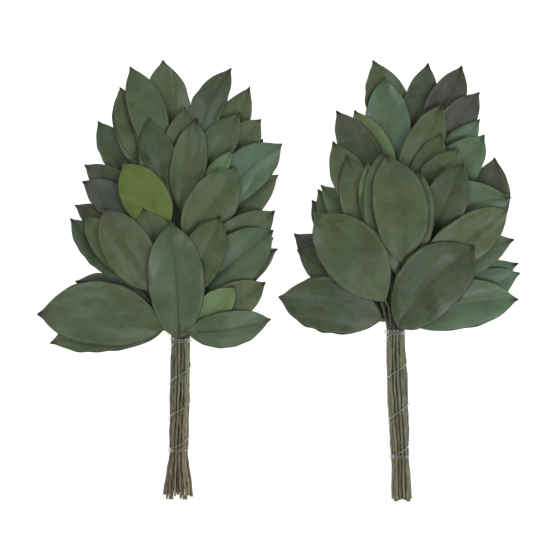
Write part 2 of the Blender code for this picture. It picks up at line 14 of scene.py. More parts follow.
import bmesh
import bpy
import numpy as np
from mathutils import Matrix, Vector

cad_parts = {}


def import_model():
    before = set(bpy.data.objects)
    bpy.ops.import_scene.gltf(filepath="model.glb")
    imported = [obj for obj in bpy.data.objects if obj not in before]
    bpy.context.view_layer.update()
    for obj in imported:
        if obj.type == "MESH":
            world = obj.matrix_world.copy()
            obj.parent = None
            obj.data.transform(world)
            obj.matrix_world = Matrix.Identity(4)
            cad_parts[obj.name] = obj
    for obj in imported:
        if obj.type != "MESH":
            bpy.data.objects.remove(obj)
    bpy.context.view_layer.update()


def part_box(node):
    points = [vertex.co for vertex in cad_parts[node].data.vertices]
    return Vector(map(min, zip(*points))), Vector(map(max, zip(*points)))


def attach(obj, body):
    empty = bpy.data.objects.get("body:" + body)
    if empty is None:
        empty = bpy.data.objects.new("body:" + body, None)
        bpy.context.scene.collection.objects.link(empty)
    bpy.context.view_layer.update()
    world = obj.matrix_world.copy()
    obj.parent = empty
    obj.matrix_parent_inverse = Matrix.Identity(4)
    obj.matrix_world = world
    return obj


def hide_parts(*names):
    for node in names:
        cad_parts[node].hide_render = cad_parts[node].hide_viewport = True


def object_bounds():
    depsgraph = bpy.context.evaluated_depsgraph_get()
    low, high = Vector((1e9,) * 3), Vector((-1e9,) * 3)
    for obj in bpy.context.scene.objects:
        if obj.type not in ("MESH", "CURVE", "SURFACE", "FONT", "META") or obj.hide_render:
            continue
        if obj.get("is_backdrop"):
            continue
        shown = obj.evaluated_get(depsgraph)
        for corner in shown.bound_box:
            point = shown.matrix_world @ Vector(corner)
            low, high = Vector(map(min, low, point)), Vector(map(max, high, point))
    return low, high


logging.basicConfig(level=logging.INFO, format="%(message)s")
LOG = logging.getLogger("sakaki")

# The kinds of value that come up often
Pair = tuple[float, float]
Triple = tuple[float, float, float]
Shares = tuple[float, ...]
Spot = Pair
Colour = Triple
Socket = bpy.types.NodeSocket
Values = dict[str | int, object]
Points = list[bmesh.types.BMVert]

# The solids' driving dimensions, the gap that leaves keep, and the samples in a turn of the solid thread
STEM_RADIUS = 0.85
TWIG_RADIUS = 0.62
STEM_PITCH = 2.0
STEM_GAP = 0.2
THREAD_RADIUS = 0.35
THREAD_SLACK = 0.2
SOLID_THREAD_SAMPLES = 9
GAP = 0.3
BLADE_THICKNESS = 0.74

# The bundle of stems: how many lie in each layer, from the back layer to the front one, how far the
# bare stems' swell and sway reach, and where and how fast a stem leaves the bundle above the tie
LAYERS = (4, 5, 6, 5, 4)
LAYER_HEIGHT = STEM_PITCH * math.sqrt(3) / 2
BUNDLE_HEIGHT = 6.0
MOST_SWELL_IN_HEIGHT = 0.06
SWAY_LENGTH = 0.7
FREE_FROM = 3.0
LEAVING = 1.4

# The solids' leaf outline: its stalk, the length of its lens and its tip, as shares of its length
STALK_SHARE = 0.07
BLADE_SHARE = 0.955
LENS_POWER = 0.62
STALK_HALF_WIDTH = 0.45
TIP_HALF_WIDTH = 0.3
BLADE_STATIONS = (0.0, 0.10, 0.27, 0.48, 0.70, 0.90, 1.0)

# The ranges from which each blade draws its own shape, and where on it the fold and the twist begin
BLADE_FOLD = (0.04, 0.20)
BLADE_ARCH = (-0.5, 2.0)
BLADE_TWIST = (-0.08, 0.08)
BLADE_BOW = (-0.015, 0.015)
FOLD_EASE = 0.15
TWIST_FROM = 0.3

# How a leaf sinks on to the pile: its fall in each step, its stiffness, its steepest slopes, and how
# often its sprig is raised until it has settled
FALL_STEPS = 70
FALL = 0.35
STIFFNESS = 0.5
CROSS_STIFFNESS = 0.9
STEEPEST_CLIMB = 0.60
STEEPEST_FALL = 0.40
STEEPEST_ROLL = 0.25
SETTLE_ROUNDS = 6
SETTLED = 0.05

# How steeply a stem may climb and fall, its straight runs, below which length it is one run, and how
# far under its end its last leaf grows at most
STEM_CLIMB = 0.45
STEM_FALL = 0.22
STEM_RUN = 20.0
SHORT_STEM = 14.0
LAST_LEAF_BELOW_END = 1.5

# How its straight runs are lifted over the pile: how often, how little may lack, and how steep they get
RUN_ROUNDS = 60
RUN_LACK = 0.005
RUN_LIFT = 0.01
RUN_CLIMB = 0.9

# How finely a blade is sampled while it comes to rest, how much of a sample its root holds, and where
# along it the leaves of its own sprig can lie under it
FINE_ALONG = 150
FINE_ACROSS = 61
SINK_EVERY = 2
HELD_SHARE = 0.7
SIBLINGS_FROM = 0.15

# The grid of heights on which the leaves come to rest
GRID_CELL = 0.5
GRID_WEST = -110.0
GRID_SOUTH = -40.0
GRID_COLUMNS = 440
GRID_ROWS = 480

# Millimetres to metres
MM = 0.001

# The least room that a leaf's relief has
LEAST_ROOM = 0.02


class Tone(Enum):
    """The tones of the dyed leaves, named as the record names their slots."""

    MID = "leaf_mid"
    OLIVE = "leaf_olive"
    TEAL = "leaf_teal"
    BLUE = "leaf_blue"
    SLATE = "leaf_slate"
    BROWN = "leaf_brown"
    LIME = "leaf_lime"
    PALE = "leaf_pale"
    DEEP = "leaf_deep"


@dataclass(frozen=True)
class Leaf:
    """One leaf: its tip's place, how far up the sprig its stalk starts, its width, its tone and its shape.

    The bow is how far its middle lies to the left of its line from root to tip, as a share of its length. A
    leaf without a fold of its own draws one, and a flat leaf lies level on the ground.
    """

    tip: Spot
    root: float
    width: float
    tone: Tone = Tone.MID
    bow: float = 0.0
    fold: float | None = None
    flat: bool = False


@dataclass(frozen=True)
class Sprig:
    """One leafy stem: its layer and place in the bundle, its end, and its leaves from back to front."""

    layer: int
    place: int
    end: Spot
    leaves: tuple[Leaf, ...]


LEFT_SPRIGS = (
    Sprig(0, 1, (-9, 119), (
        Leaf((-28, 118), 58, 26, flat=True),
        Leaf((2, 66), 12, 26),
        Leaf((4, 104), 46, 22),
        Leaf((-45, 70), 32, 28, Tone.SLATE),
        Leaf((-12, 177), 118, 28, bow=-0.04),
    )),
    Sprig(0, 0, (-25, 108), (
        Leaf((-44, 44), 10, 26, Tone.OLIVE),
        Leaf((-53, 138), 92, 22, Tone.DEEP),
        Leaf((-40, 157), 107, 20),
    )),
    Sprig(0, 2, (8, 119), (
        Leaf((34, 112), 60, 26, Tone.OLIVE),
        Leaf((44, 160), 104, 22, Tone.OLIVE, bow=-0.03),
        Leaf((32, 172), 118, 21, Tone.DEEP, bow=0.06),
    )),
    Sprig(0, 3, (21, 102), (
        Leaf((40, 40), 10, 24, Tone.OLIVE),
        Leaf((48, 64), 30, 28, Tone.SLATE),
        Leaf((52, 127), 82, 20),
        Leaf((50, 140), 101, 22),
    )),
    Sprig(1, 0, (-24, 112), (
        Leaf((-61, 111), 78, 21, Tone.BROWN),
        Leaf((-38, 160), 111, 21, Tone.OLIVE),
    )),
    Sprig(1, 1, (-13, 114), (Leaf((-32, 173), 113, 24, bow=-0.03),)),
    Sprig(1, 2, (-5, 84), (Leaf((3, 147), 82, 22),)),
    Sprig(1, 3, (6, 96), (Leaf((37, 144), 95, 23),)),
    Sprig(1, 4, (21, 83), (
        Leaf((61, 105), 64, 23),
        Leaf((64, 124), 82, 28, Tone.TEAL, bow=0.05),
    )),
    Sprig(2, 0, (-34, 39), (
        Leaf((-67, 37), 24, 21, Tone.SLATE),
        Leaf((-70, 77), 38, 20, Tone.BLUE, fold=0.55),
    )),
    Sprig(2, 1, (-23, 74), (
        Leaf((-67, 86), 56, 20, Tone.BROWN),
        Leaf((-62, 101), 73, 22, Tone.SLATE),
    )),
    Sprig(2, 2, (-9, 84), (Leaf((-20, 140), 82, 24, Tone.DEEP),)),
    Sprig(2, 3, (-1, 80), (
        Leaf((33, 120), 72, 15, Tone.PALE),
        Leaf((10, 140), 78, 23),
    )),
    Sprig(2, 4, (2, 64), (Leaf((35, 109), 60, 31),)),
    Sprig(2, 5, (13, 51), (
        Leaf((59, 64), 32, 22, Tone.SLATE),
        Leaf((60, 81), 50, 25),
    )),
    Sprig(3, 1, (-8, 70), (
        Leaf((-36, 112), 69, 30, Tone.LIME),
        Leaf((-24, 83), 27, 30, Tone.OLIVE),
    )),
    Sprig(3, 0, (-21, 37), (
        Leaf((-61, 78), 36, 23, Tone.OLIVE),
        Leaf((-49, 83), 29, 31, Tone.OLIVE),
    )),
    Sprig(3, 4, (12, 20), (Leaf((61, 58), 19, 23, Tone.SLATE, bow=0.05),)),
    Sprig(3, 3, (8, 31), (Leaf((58, 70), 30, 32, Tone.BLUE),)),
    Sprig(3, 2, (3, 26), (Leaf((25, 78), 25, 27),)),
    Sprig(4, 0, (-11, 9), (
        Leaf((-83, -2), 7, 28, bow=-0.05),
        Leaf((-91, 16), 7, 41, bow=-0.06),
    )),
    Sprig(4, 3, (9, 11), (
        Leaf((54, 36), 10, 24),
        Leaf((35, 33), 8, 20, Tone.PALE),
    )),
    Sprig(4, 2, (5, 9), (Leaf((57, 14), 5, 23, Tone.BLUE, bow=-0.05),)),
    Sprig(4, 1, (-1, 6), (Leaf((-6, 75), 5, 36, Tone.BLUE),)),
)

RIGHT_SPRIGS = (
    Sprig(0, 0, (-2, 109), (
        Leaf((-30, 106), 50, 26, flat=True),
        Leaf((3, 66), 12, 28, Tone.BROWN),
        Leaf((-34, 46), 10, 26, Tone.SLATE),
        Leaf((-45, 58), 24, 28, Tone.SLATE),
        Leaf((-13, 172), 108, 28, Tone.OLIVE, bow=-0.06),
    )),
    Sprig(0, 1, (10, 106), (
        Leaf((30, 108), 56, 26),
        Leaf((21, 170), 105, 24, Tone.BROWN),
    )),
    Sprig(0, 2, (19, 115), (
        Leaf((43, 168), 114, 24, Tone.SLATE),
        Leaf((53, 152), 98, 24, Tone.SLATE),
        Leaf((54, 134), 92, 19, Tone.TEAL),
    )),
    Sprig(0, 3, (47, 52), (
        Leaf((50, 64), 24, 28, Tone.SLATE),
        Leaf((64, 110), 51, 30, Tone.BROWN, bow=-0.03),
    )),
    Sprig(1, 0, (-18, 43), (
        Leaf((-53, 83), 36, 24, Tone.BROWN),
        Leaf((-49, 90), 42, 23),
    )),
    Sprig(1, 1, (-2, 104), (
        Leaf((-47, 93), 44, 22, Tone.BLUE),
        Leaf((-7, 161), 97, 29, Tone.TEAL),
    )),
    Sprig(1, 2, (-1, 91), (Leaf((-26, 140), 90, 23, Tone.PALE),)),
    Sprig(1, 3, (3, 85), (Leaf((29, 144), 83, 25, Tone.OLIVE),)),
    Sprig(1, 4, (19, 81), (Leaf((57, 124), 80, 28, Tone.TEAL),)),
    Sprig(2, 0, (-14, 31), (
        Leaf((-64, 62), 30, 25, Tone.SLATE, bow=0.05),
        Leaf((-62, 52), 24, 26, Tone.DEEP),
    )),
    Sprig(2, 1, (-11, 81), (
        Leaf((-37, 140), 80, 25, Tone.BROWN, bow=-0.06),
        Leaf((-40, 120), 58, 25, Tone.OLIVE),
    )),
    Sprig(2, 2, (-6, 46), (
        Leaf((-31, 111), 40, 28),
        Leaf((-18, 107), 45, 19, Tone.PALE),
    )),
    Sprig(2, 3, (6, 71), (Leaf((29, 125), 70, 22, Tone.OLIVE),)),
    Sprig(2, 4, (8, 74), (Leaf((40, 115), 73, 23, Tone.OLIVE),)),
    Sprig(2, 5, (16, 53), (
        Leaf((73, 85), 56, 36, Tone.TEAL, bow=0.12),
        Leaf((42, 106), 52, 28, Tone.DEEP),
    )),
    Sprig(3, 0, (-8, 12), (Leaf((-74, 21), 7, 36, Tone.DEEP, bow=-0.04),)),
    Sprig(3, 1, (-2, 38), (Leaf((-10, 114), 37, 29),)),
    Sprig(3, 2, (2, 31), (Leaf((15, 102), 30, 30),)),
    Sprig(3, 4, (16, 15), (
        Leaf((78, 44), 12, 23, Tone.TEAL),
        Leaf((79, 38), 14, 26, Tone.TEAL, bow=-0.04),
    )),
    Sprig(3, 3, (11, 38), (
        Leaf((75, 59), 25, 26, Tone.BLUE, bow=0.04),
        Leaf((72, 78), 37, 29),
    )),
    Sprig(4, 3, (8, 9), (Leaf((78, 21), 5, 31, Tone.TEAL, bow=0.04),)),
    Sprig(4, 0, (-5, 18), (Leaf((-51, 75), 17, 40, bow=-0.03),)),
    Sprig(4, 1, (4, 42), (Leaf((-6, 112), 41, 35, bow=-0.05),)),
    Sprig(4, 2, (4, 7), (Leaf((50, 54), 6, 42, Tone.DEEP, bow=0.08),)),
)


@dataclass(frozen=True)
class Bunch:
    """One bunch of the pair: its sprigs, the length of its bare stems, and how far apart its ties are.

    Down the bare stems it leans to one side, swells between its ties, spreads at the cut ends and sways. Its
    cut ends are more or less ragged, and its bark is more or less browned towards them.
    """

    name: str
    sprigs: tuple[Sprig, ...]
    handle: float
    tie_spacing: float
    lean: float
    swell: float
    spread: float
    sway: float
    ragged: float
    browned: float
    seed: int

    def slot(self, sprig: Sprig) -> Spot:
        """Find where a sprig's stem crosses the tie, across the bundle and above the bundle's middle."""
        across = (sprig.place - (LAYERS[sprig.layer] - 1) / 2) * STEM_PITCH
        return across, (sprig.layer - (len(LAYERS) - 1) / 2) * LAYER_HEIGHT

    def handle_point(self, slot: Spot, y: float) -> Spot:
        """Find the centre of a bare stem below the upper tie.

        Args:
            slot: The stem's place across the bundle and its height in it.
            y: How far up the bunch, below zero under the tie.

        Returns:
            Its place across the bunch and its height.
        """
        across, height = slot
        down = max(-y, 0.0)
        swell = self.swell * math.sin(math.pi * min(down / self.tie_spacing, 1.0))
        spread = self.spread * eased((down - self.tie_spacing) / (self.handle - self.tie_spacing))
        slide = self.sway * math.sin(math.pi * down / (self.tie_spacing * SWAY_LENGTH))
        slide *= height / LAYER_HEIGHT
        x = self.lean * down + across * (1 + swell + spread) + slide
        return x, BUNDLE_HEIGHT + height * (1 + min(swell, MOST_SWELL_IN_HEIGHT))


LEFT_BUNCH = Bunch("left", LEFT_SPRIGS, handle=101.0, tie_spacing=69.0, lean=-0.018,
                   swell=0.06, spread=0.75, sway=0.30, ragged=4.5, browned=0.9, seed=11)
RIGHT_BUNCH = Bunch("right", RIGHT_SPRIGS, handle=107.0, tie_spacing=78.0, lean=0.038,
                    swell=0.16, spread=0.15, sway=-0.30, ragged=2.0, browned=0.1, seed=23)


def eased(values: np.ndarray | float) -> np.ndarray | float:
    """Ease each value between 0 and 1."""
    values = np.clip(values, 0.0, 1.0)
    return values * values * (3 - 2 * values)


def lengths_along(line: np.ndarray) -> np.ndarray:
    """Find how far along a line each of its points is."""
    return np.concatenate(([0.0], np.cumsum(np.linalg.norm(np.diff(line, axis=0), axis=1))))


def smooth_run(places: np.ndarray, values: np.ndarray, at: np.ndarray) -> np.ndarray:
    """Draw one smooth line through given points.

    Args:
        places: The points' places along the line, rising.
        values: The points' heights, or one row of coordinates for each.
        at: The places at which the line is wanted.

    Returns:
        The line's heights, or coordinates, at those places.
    """
    values = np.asarray(values, dtype=float)
    flat = values.ndim == 1
    if flat:
        values = values[:, None]
    runs = np.diff(places)
    rates = np.diff(values, axis=0) / runs[:, None]
    slopes = np.vstack([rates[:1], (rates[:-1] * runs[1:, None] + rates[1:] * runs[:-1, None])
                        / (runs[1:] + runs[:-1])[:, None], rates[-1:]])
    row = np.clip(np.searchsorted(places, at, side="right") - 1, 0, len(places) - 2)
    share = ((at - places[row]) / runs[row])[:, None]
    run = runs[row][:, None]
    line = ((2 * share**3 - 3 * share**2 + 1) * values[row]
            + (share**3 - 2 * share**2 + share) * run * slopes[row]
            + (3 * share**2 - 2 * share**3) * values[row + 1]
            + (share**3 - share**2) * run * slopes[row + 1])
    return line[:, 0] if flat else line


class Pile:
    """The heights of what lies on the surface so far, with the gap that the next piece keeps to it."""

    def __init__(self) -> None:
        """Start with the bare surface."""
        self.leaves = np.zeros((GRID_COLUMNS, GRID_ROWS))
        self.stems = np.zeros((GRID_COLUMNS, GRID_ROWS))
        self.stem_points = np.zeros((0, 3))

    def cells(self, x: np.ndarray, y: np.ndarray) -> tuple[np.ndarray, np.ndarray]:
        """Find the columns and rows of the grid's cells under points."""
        column = np.floor((x - GRID_WEST) / GRID_CELL).astype(int)
        return column, np.floor((y - GRID_SOUTH) / GRID_CELL).astype(int)

    def widened(self, heights: np.ndarray) -> np.ndarray:
        """Give every height also to the cells around it.

        Args:
            heights: A grid of heights.

        Returns:
            The widened grid.
        """
        wide = heights.copy()
        for columns in (-1, 0, 1):
            for rows in (-1, 0, 1):
                wide = np.maximum(wide, np.roll(heights, (columns, rows), axis=(0, 1)))
        return wide

    def stem_floor(self, x: np.ndarray, y: np.ndarray) -> np.ndarray:
        """Find the lowest height for the centre of a stem at each point.

        Args:
            x: The stem's places across the bunch.
            y: The stem's places up the bunch.

        Returns:
            The heights.
        """
        floor = np.full(len(x), STEM_RADIUS)
        wide = self.widened(self.leaves)
        for side in np.linspace(-STEM_RADIUS, STEM_RADIUS, 5):
            for along in np.linspace(-0.5, 0.5, 3):
                floor = np.maximum(floor, wide[self.cells(x + side, y + along)] + STEM_RADIUS)
        if len(self.stem_points):
            apart = 2 * STEM_RADIUS + STEM_GAP
            dx = x[:, None] - self.stem_points[None, :, 0]
            dy = y[:, None] - self.stem_points[None, :, 1]
            room = apart**2 - dx**2 - dy**2
            above = self.stem_points[None, :, 2] + np.sqrt(np.maximum(room, 0.0))
            floor = np.maximum(floor, np.where(room > 0, above, 0.0).max(axis=1))
        return floor

    def add_leaf(self, heights: np.ndarray, blade: "Blade") -> None:
        """Add a leaf that has come to rest.

        Args:
            heights: The grid of leaves to add it to.
            blade: The leaf's blade.
        """
        np.maximum.at(heights, self.cells(blade.x, blade.y), blade.z + BLADE_THICKNESS / 2 + GAP)

    def add_stem(self, points: np.ndarray) -> None:
        """Add a stem that has come to rest.

        Args:
            points: Close points of its centre line.
        """
        self.stem_points = np.vstack([self.stem_points, points])
        for side in np.linspace(-STEM_RADIUS, STEM_RADIUS, 5):
            cells = self.cells(points[:, 0] + side, points[:, 1])
            np.maximum.at(self.stems, cells, points[:, 2] + STEM_RADIUS + GAP)


def net_weights(every: int) -> np.ndarray:
    """Find the share of each corner of a blade's net in each sample of its facets.

    Args:
        every: Which of the samples are taken, such as every second one.

    Returns:
        One row of shares for each sample.
    """
    s = np.linspace(0, 1, FINE_ALONG)[::every]
    t = np.linspace(-1, 1, FINE_ACROSS)[::every]
    s, t = (values.ravel() for values in np.meshgrid(s, t, indexing="ij"))
    stations = np.array(BLADE_STATIONS)
    row = np.clip(np.searchsorted(stations, s, side="right") - 1, 0, len(stations) - 2)
    along = (s - stations[row]) / (stations[row + 1] - stations[row])
    column = np.where(t < 0, 0, 1)
    across = t + 1 - column
    outward = np.where(column == 0, 1 - across, across)
    beside = outward <= along
    weights = np.zeros((len(s), len(stations) * 3))
    order = np.arange(len(s))
    edge = np.where(column == 0, 0, 2)
    weights[order, row * 3 + 1] = np.where(beside, 1 - along, 1 - outward)
    weights[order, (row + 1) * 3 + 1] = np.where(beside, along - outward, 0.0)
    weights[order, row * 3 + edge] = np.where(beside, 0.0, outward - along)
    weights[order, (row + 1) * 3 + edge] = np.where(beside, outward, along)
    return weights


FINE_WEIGHTS = net_weights(1)
SINK_WEIGHTS = net_weights(SINK_EVERY)
SINK_SHARES = SINK_WEIGHTS / (SINK_WEIGHTS**2).sum(axis=1)[:, None]
SIBLING_REACH = FINE_WEIGHTS @ np.repeat(BLADE_STATIONS, 3) > SIBLINGS_FROM


class Blade:
    """A leaf blade: a net of corners from its root at 0 to its tip at 1, with two edges and a midrib."""

    def __init__(self, leaf: Leaf, root: Spot, draw: np.random.Generator) -> None:
        """Set the blade's plan and its own shape.

        Args:
            leaf: The leaf.
            root: Where its stalk starts.
            draw: The source of its small irregularities.
        """
        self.leaf = leaf
        self.root = np.array(root)
        tip = np.array(leaf.tip, dtype=float)
        self.length = float(np.linalg.norm(tip - self.root))
        self.forward = (tip - self.root) / self.length
        self.left = np.array((-self.forward[1], self.forward[0]))
        self.fold = draw.uniform(*BLADE_FOLD) if leaf.fold is None else leaf.fold
        self.arch = draw.uniform(*BLADE_ARCH)
        self.twist = draw.uniform(*BLADE_TWIST)
        self.bow = (leaf.bow + draw.uniform(*BLADE_BOW)) * self.length
        if leaf.flat:
            self.fold = 0.0
            self.arch = 0.0
            self.twist = 0.0
        self.root_height = 0.0
        self.s, self.t = np.meshgrid(BLADE_STATIONS, (-1.0, 0.0, 1.0), indexing="ij")
        self.net_x, self.net_y = self.plan(self.s, self.t * self.half_width(self.s))
        self.own = self.own_shape(self.s, self.t)
        self.net_z = self.own.copy()
        self.x = FINE_WEIGHTS @ self.net_x.ravel()
        self.y = FINE_WEIGHTS @ self.net_y.ravel()
        self.z = FINE_WEIGHTS @ self.net_z.ravel()

    def half_width(self, s: np.ndarray) -> np.ndarray:
        """Give the half width of the solid's outline at each share of the length."""
        q = np.clip((s - STALK_SHARE) / (BLADE_SHARE - STALK_SHARE), 0, 1)
        lens = self.leaf.width / 2 * (4 * q * (1 - q)) ** LENS_POWER
        return np.maximum(lens, STALK_HALF_WIDTH + (TIP_HALF_WIDTH - STALK_HALF_WIDTH) * s)

    def plan(self, s: np.ndarray, side: np.ndarray) -> tuple[np.ndarray, np.ndarray]:
        """Find places seen from above.

        Args:
            s: Shares of the length.
            side: How far to the left of the midrib.

        Returns:
            The places across and up the bunch.
        """
        along = s * self.length
        side = side + self.bow * 4 * s * (1 - s)
        x = self.root[0] + self.forward[0] * along + self.left[0] * side
        return x, self.root[1] + self.forward[1] * along + self.left[1] * side

    def own_shape(self, s: np.ndarray, t: np.ndarray) -> np.ndarray:
        """Give the blade's own fold, arch and twist.

        Args:
            s: Shares of the length.
            t: Shares from edge to edge, from -1 to 1.

        Returns:
            The heights above a level blade.
        """
        across = t * self.half_width(s)
        body = np.clip((s - STALK_SHARE) / FOLD_EASE, 0, 1)
        folded = self.fold * np.abs(across) * body
        return folded + self.arch * 4 * s * (1 - s) + self.twist * (s - TWIST_FROM) * across

    def limit_slopes(self, lie: np.ndarray) -> None:
        """Hold the blade to its steepest climb, fall and roll, from the root to the tip.

        Args:
            lie: The net's heights without the blade's own shape, changed in place.
        """
        half = self.half_width(self.s)
        middle = lie.mean(axis=1)
        runs = np.diff(BLADE_STATIONS) * self.length
        for place, run in enumerate(runs, start=1):
            change = middle[place] - middle[place - 1]
            kept = min(max(change, -STEEPEST_FALL * run), STEEPEST_CLIMB * run)
            lie[place:] += kept - change
            middle[place:] += kept - change
        most = STEEPEST_ROLL * half[:, 0]
        spare = (lie[:, 2] - lie[:, 0]) / 2 - np.clip((lie[:, 2] - lie[:, 0]) / 2, -most, most)
        lie[:, 2] -= spare
        lie[:, 0] += spare

    def bend_back(self, lie: np.ndarray) -> None:
        """Draw each corner towards the line of its neighbours along the blade and across it.

        Args:
            lie: The net's heights without the blade's own shape, changed in place.
        """
        stations = np.array(BLADE_STATIONS)
        share = ((stations[1:-1] - stations[:-2]) / (stations[2:] - stations[:-2]))[:, None]
        off = lie[1:-1] - (1 - share) * lie[:-2] - share * lie[2:]
        lie[1:-1] -= STIFFNESS * 0.5 * off
        lie[:-2] += STIFFNESS * 0.5 * (1 - share) * off
        lie[2:] += STIFFNESS * 0.5 * share * off
        off = lie[:, 1] - (lie[:, 0] + lie[:, 2]) / 2
        lie[:, 1] -= CROSS_STIFFNESS * 0.5 * off
        lie[:, 0] += CROSS_STIFFNESS * 0.5 * off
        lie[:, 2] += CROSS_STIFFNESS * 0.5 * off

    def rest(self, ground: np.ndarray) -> float:
        """Sink on to the ground with the root held on its stem.

        Args:
            ground: The height under each fine sample.

        Returns:
            How far the stem must rise.
        """
        if self.leaf.flat:
            level = np.full(self.own.shape, BLADE_THICKNESS / 2)
            level[0] = self.root_height
            level[1] = (self.root_height + 2 * level[1]) / 3
            self.net_z = level
            self.z = FINE_WEIGHTS @ self.net_z.ravel()
            return 0.0
        need = ground + BLADE_THICKNESS / 2
        sink_need = need.reshape(FINE_ALONG, FINE_ACROSS)[::SINK_EVERY, ::SINK_EVERY].ravel()
        own = self.own
        lie = np.full(own.shape, self.root_height)
        for step in range(FALL_STEPS):
            lie[1:] -= FALL * (1 - step / FALL_STEPS)
            self.bend_back(lie)
            lie[0] = self.root_height
            self.limit_slopes(lie)
            lack = sink_need - SINK_WEIGHTS @ (lie + own).ravel()
            push = np.maximum(lack, 0.0)[:, None] * SINK_SHARES
            lie += push.max(axis=0).reshape(own.shape)
            lie[0] = self.root_height
        held = FINE_WEIGHTS[:, :3].sum(axis=1)
        lack = need - FINE_WEIGHTS @ (lie + own).ravel()
        free = held < HELD_SHARE
        lie[1:] += max(float((lack[free] / (1 - held[free])).max()), 0.0)
        self.net_z = lie + own
        self.z = FINE_WEIGHTS @ self.net_z.ravel()
        short = max(float((need - self.z)[~free].max()), 0.0)
        climb = lie[1:, 1] - self.root_height - STEEPEST_CLIMB * self.s[1:, 1] * self.length
        return max(short, float(climb.max()), 0.0)


def stem_course(sprig: Sprig, slot_x: float, y: np.ndarray) -> np.ndarray:
    """Find where a stem runs, seen from above: straight up from its slot at first, then out to its end."""
    share = np.clip((y - FREE_FROM) / (sprig.end[1] - FREE_FROM), 0, 1)
    return slot_x + (sprig.end[0] - slot_x) * share**LEAVING


def taut_heights(y: np.ndarray, floor: np.ndarray, start: float) -> np.ndarray:
    """Draw a stem tight over what lies under it, from the tie to the sprig's end.

    Args:
        y: Places up the bunch.
        floor: The lowest height at each place.
        start: The stem's height at the tie.

    Returns:
        The stem's heights.
    """
    points = [(float(y[0]), start)]
    for place, height in zip(y[1:], floor[1:]):
        point = (float(place), float(height))
        while len(points) > 1:
            (y0, z0), (y1, z1) = points[-2], points[-1]
            if (z1 - z0) * (point[0] - y0) > (point[1] - z0) * (y1 - y0):
                break
            points.pop()
        points.append(point)
    heights = np.interp(y, [p[0] for p in points], [p[1] for p in points])
    for place in range(1, len(y)):
        heights[place] = max(heights[place], heights[place - 1] - STEM_FALL * (y[place] - y[place - 1]))
    for place in range(len(y) - 2, 0, -1):
        heights[place] = max(heights[place], heights[place + 1] - STEM_CLIMB * (y[place + 1] - y[place]))
    return heights


def coarse_heights(y: np.ndarray, heights: np.ndarray, floor: np.ndarray,
                   stations: np.ndarray) -> np.ndarray:
    """Find heights whose straight runs stay over the floor, as far as the tie lets them climb.

    Args:
        y: Places up the bunch.
        heights: The stem's heights there.
        floor: The lowest heights there.
        stations: The ends of the straight runs.

    Returns:
        The heights at those ends.
    """
    z = np.interp(stations, y, heights)
    for _ in range(RUN_ROUNDS):
        lacking = floor - np.interp(y, stations, z)
        lacking[0] = 0.0
        worst = int(np.argmax(lacking))
        if lacking[worst] < RUN_LACK:
            break
        after = int(np.clip(np.searchsorted(stations, y[worst]), 1, len(stations) - 1))
        z[after] += lacking[worst] + RUN_LIFT
        if after > 1:
            z[after - 1] += lacking[worst]
    return np.minimum(z, z[0] + RUN_CLIMB * (stations - stations[0]))


def lay_sprig(sprig: Sprig, bunch: Bunch, pile: Pile,
              draw: np.random.Generator) -> tuple[np.ndarray, list[Blade]]:
    """Lay one sprig on the pile.

    Args:
        sprig: The sprig.
        bunch: Its bunch.
        pile: What lies there already.
        draw: The source of its small irregularities.

    Returns:
        Its stem's course above the tie, and its blades where they come to rest.
    """
    slot_x, slot_height = bunch.slot(sprig)
    start = BUNDLE_HEIGHT + slot_height
    length = sprig.end[1] - FREE_FROM
    y = np.linspace(FREE_FROM, sprig.end[1], max(int(length), 3) + 1)
    x = stem_course(sprig, slot_x, y)
    floor = pile.stem_floor(x, y)
    steps = 1 if sprig.end[1] < SHORT_STEM else max(2, round(length / STEM_RUN))
    stations = np.linspace(FREE_FROM, sprig.end[1], steps + 1)
    blades = []
    for leaf in sprig.leaves:
        root_y = min(leaf.root, sprig.end[1] - LAST_LEAF_BELOW_END)
        blades.append(Blade(leaf, (float(np.interp(root_y, y, x)), root_y), draw))
    settled = np.maximum(pile.widened(pile.leaves), pile.widened(pile.stems))
    for _ in range(SETTLE_ROUNDS):
        z = coarse_heights(y, taut_heights(y, floor, start), floor, stations)
        raised = False
        for blade in blades:
            blade.root_height = float(np.interp(blade.root[1], stations, z))
            lack = blade.rest(settled[pile.cells(blade.x, blade.y)])
            if lack > SETTLED:
                near = int(np.argmin(np.abs(y - blade.root[1])))
                floor[near] = float(np.interp(y[near], stations, z)) + lack
                raised = True
        if not raised:
            break
    heights = pile.leaves.copy()
    for blade in blades:
        cells = pile.cells(blade.x, blade.y)
        beside = np.where(SIBLING_REACH, pile.widened(heights)[cells], 0.0)
        blade.rest(np.maximum(settled[cells], beside))
        pile.add_leaf(heights, blade)
    pile.leaves = heights
    fine = np.linspace(0, sprig.end[1], int(sprig.end[1] / GRID_CELL) + 2)
    pile.add_stem(np.column_stack([stem_course(sprig, slot_x, fine), fine, np.interp(fine, stations, z)]))
    return np.column_stack([stem_course(sprig, slot_x, stations), stations, z]), blades


@dataclass(frozen=True)
class Fade:
    """An easing from one number to another, while a value goes from low to high."""

    low: float
    high: float
    start: float = 0.0
    end: float = 1.0


@dataclass(frozen=True)
class Cloud:
    """A soft noise: how fine it is, its finer layers and their strength, its swirl, and its easing."""

    scale: float
    layers: float = 3.0
    strength: float = 0.55
    swirl: float = 0.0
    fade: Fade | None = None


